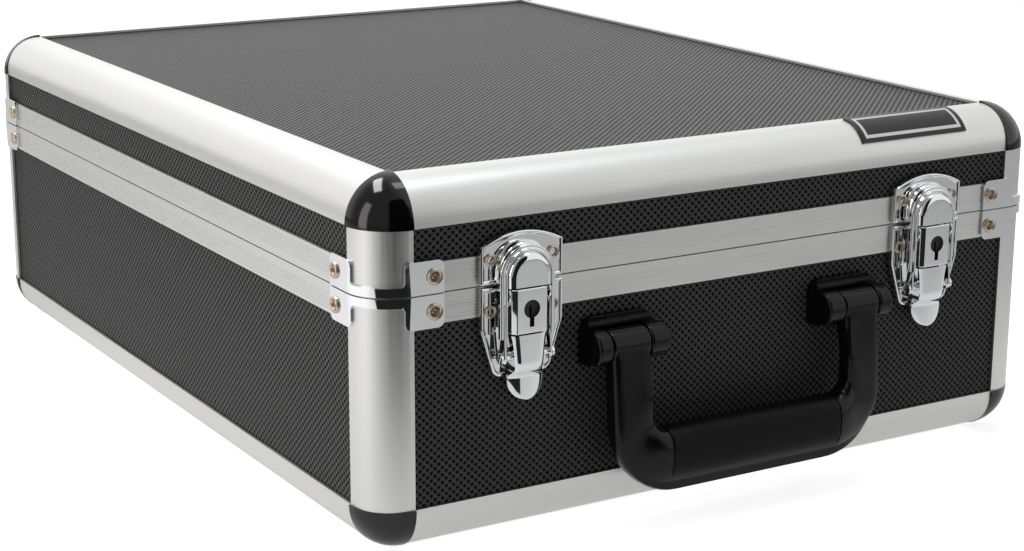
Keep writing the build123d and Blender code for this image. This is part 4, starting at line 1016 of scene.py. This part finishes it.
def dark_card(name, corners):
    """A painted dark sheet that stands for a dark room, which only reflections see."""
    finish, tree, shader = start_material(name)
    shader.inputs["Base Color"].default_value = DARK_TONE
    shader.inputs["Roughness"].default_value = 1.0
    shader.inputs["Specular IOR Level"].default_value = 0.0
    card = flat_sheet(name, corners, finish)
    for ray in ("camera", "diffuse", "shadow", "transmission", "volume_scatter"):
        setattr(card, f"visible_{ray}", False)
    return card


# Painted dark reflections: sheets that nothing but reflections see.
near = [(DARK_LEFT, DARK_FRONT, DARK_LIFT), (DARK_RIGHT, DARK_FRONT, DARK_LIFT)]
far = [(DARK_FAR_RIGHT, DARK_FAR, DARK_LIFT), (DARK_FAR_LEFT, DARK_FAR, DARK_LIFT)]
dark_card("painted_dark_reflection_floor", near + far)
top = [(x, y, DARK_TOP) for x, y, z in reversed(far)]
dark_card("painted_dark_reflection_wall", far + top)


def lamp(name, place, target, turn, width, height, radiance, tint):
    """A soft rectangular lamp of a given brightness that points at a target."""
    data = bpy.data.lights.new(name, "AREA")
    data.shape = "RECTANGLE"
    data.size = width
    data.size_y = height
    data.color = tint
    data.energy = radiance * math.pi * width * height
    made = bpy.data.objects.new(name, data)
    made.location = place
    aim = (Vector(target) - Vector(place)).to_track_quat("-Z", "Y")
    made.rotation_euler = (aim @ Quaternion((0.0, 0.0, 1.0), turn)).to_euler()
    bpy.context.scene.collection.objects.link(made)
    return made


white, warm, cool = (1.0, 1.0, 1.0), (1.0, 0.97, 0.92), (0.80, 1.0, 0.98)
strip_turn = math.radians(57.0)
lamp("top_strip", (-0.43, 0.46, 1.65), (-0.43, 0.4601, 0.0), strip_turn, 1.21, 0.42, 10.6, white)
lamp("left_panel", (-1.67, -0.16, 0.72), (0.0, -0.16, 0.72), 0.0, 0.55, 1.40, 2.8, warm)
lamp("room_window", (0.30, -0.15, 1.65), (0.30, -0.1501, 0.0), 0.0, 0.50, 0.45, 3.6, cool)

world = bpy.data.worlds.new("white_room")
world.use_nodes = True
bpy.context.scene.world = world
tree = world.node_tree
ambient = tree.nodes["Background"]
ambient.inputs["Color"].default_value = (1.0, 1.0, 1.0, 1.0)
path = add_node(tree, "ShaderNodeLightPath").outputs
way = add_node(tree, "ShaderNodeTexCoord").outputs["Generated"]
ways = add_node(tree, "ShaderNodeSeparateXYZ", None, {0: way}).outputs
# Painted reflections: glossy rays see the world darker at the left, brighter at the right and brightest
# towards the back; camera and transmission rays see plain white, and other rays get the ambient level.
painted_reflection_sides = spread(tree, ways[X], *SIDE_TURN, LEFT_PAINTED_REFLECTION, RIGHT_PAINTED_REFLECTION)
in_metal = spread(tree, ways[Y], *BACK_TURN, painted_reflection_sides, BACK_PAINTED_REFLECTION)
seen = maths(tree, "MAXIMUM", path["Is Camera Ray"], path["Is Transmission Ray"])
glossy = maths(tree, "MULTIPLY", path["Is Glossy Ray"], in_metal)
plain = maths(tree, "SUBTRACT", 1.0, maths(tree, "MAXIMUM", seen, path["Is Glossy Ray"]))
strength = maths(tree, "MULTIPLY_ADD", plain, AMBIENT, maths(tree, "ADD", seen, glossy))
tree.links.new(strength, ambient.inputs["Strength"])

level = math.cos(CAMERA_PITCH)
ahead = (level * math.sin(CAMERA_YAW), level * math.cos(CAMERA_YAW), math.sin(CAMERA_PITCH))
forward = Vector(ahead)
right = Vector((math.cos(CAMERA_YAW), -math.sin(CAMERA_YAW), 0.0))
up = right.cross(forward)
turned_right = right * math.cos(CAMERA_ROLL) + up * math.sin(CAMERA_ROLL)
turned_up = up * math.cos(CAMERA_ROLL) - right * math.sin(CAMERA_ROLL)
camera_data = bpy.data.cameras.new("camera")
camera_data.sensor_fit = "HORIZONTAL"
camera_data.sensor_width = 36.0
camera_data.lens = CAMERA_LENS
camera_data.clip_start = 0.05
camera_data.clip_end = 100.0
camera = bpy.data.objects.new("camera", camera_data)
facing = Matrix((turned_right, turned_up, -forward)).transposed().to_4x4()
camera.matrix_world = Matrix.Translation(CAMERA_PLACE) @ facing
bpy.context.scene.collection.objects.link(camera)
bpy.context.scene.camera = camera

bpy.context.scene.view_settings.view_transform = "Standard"
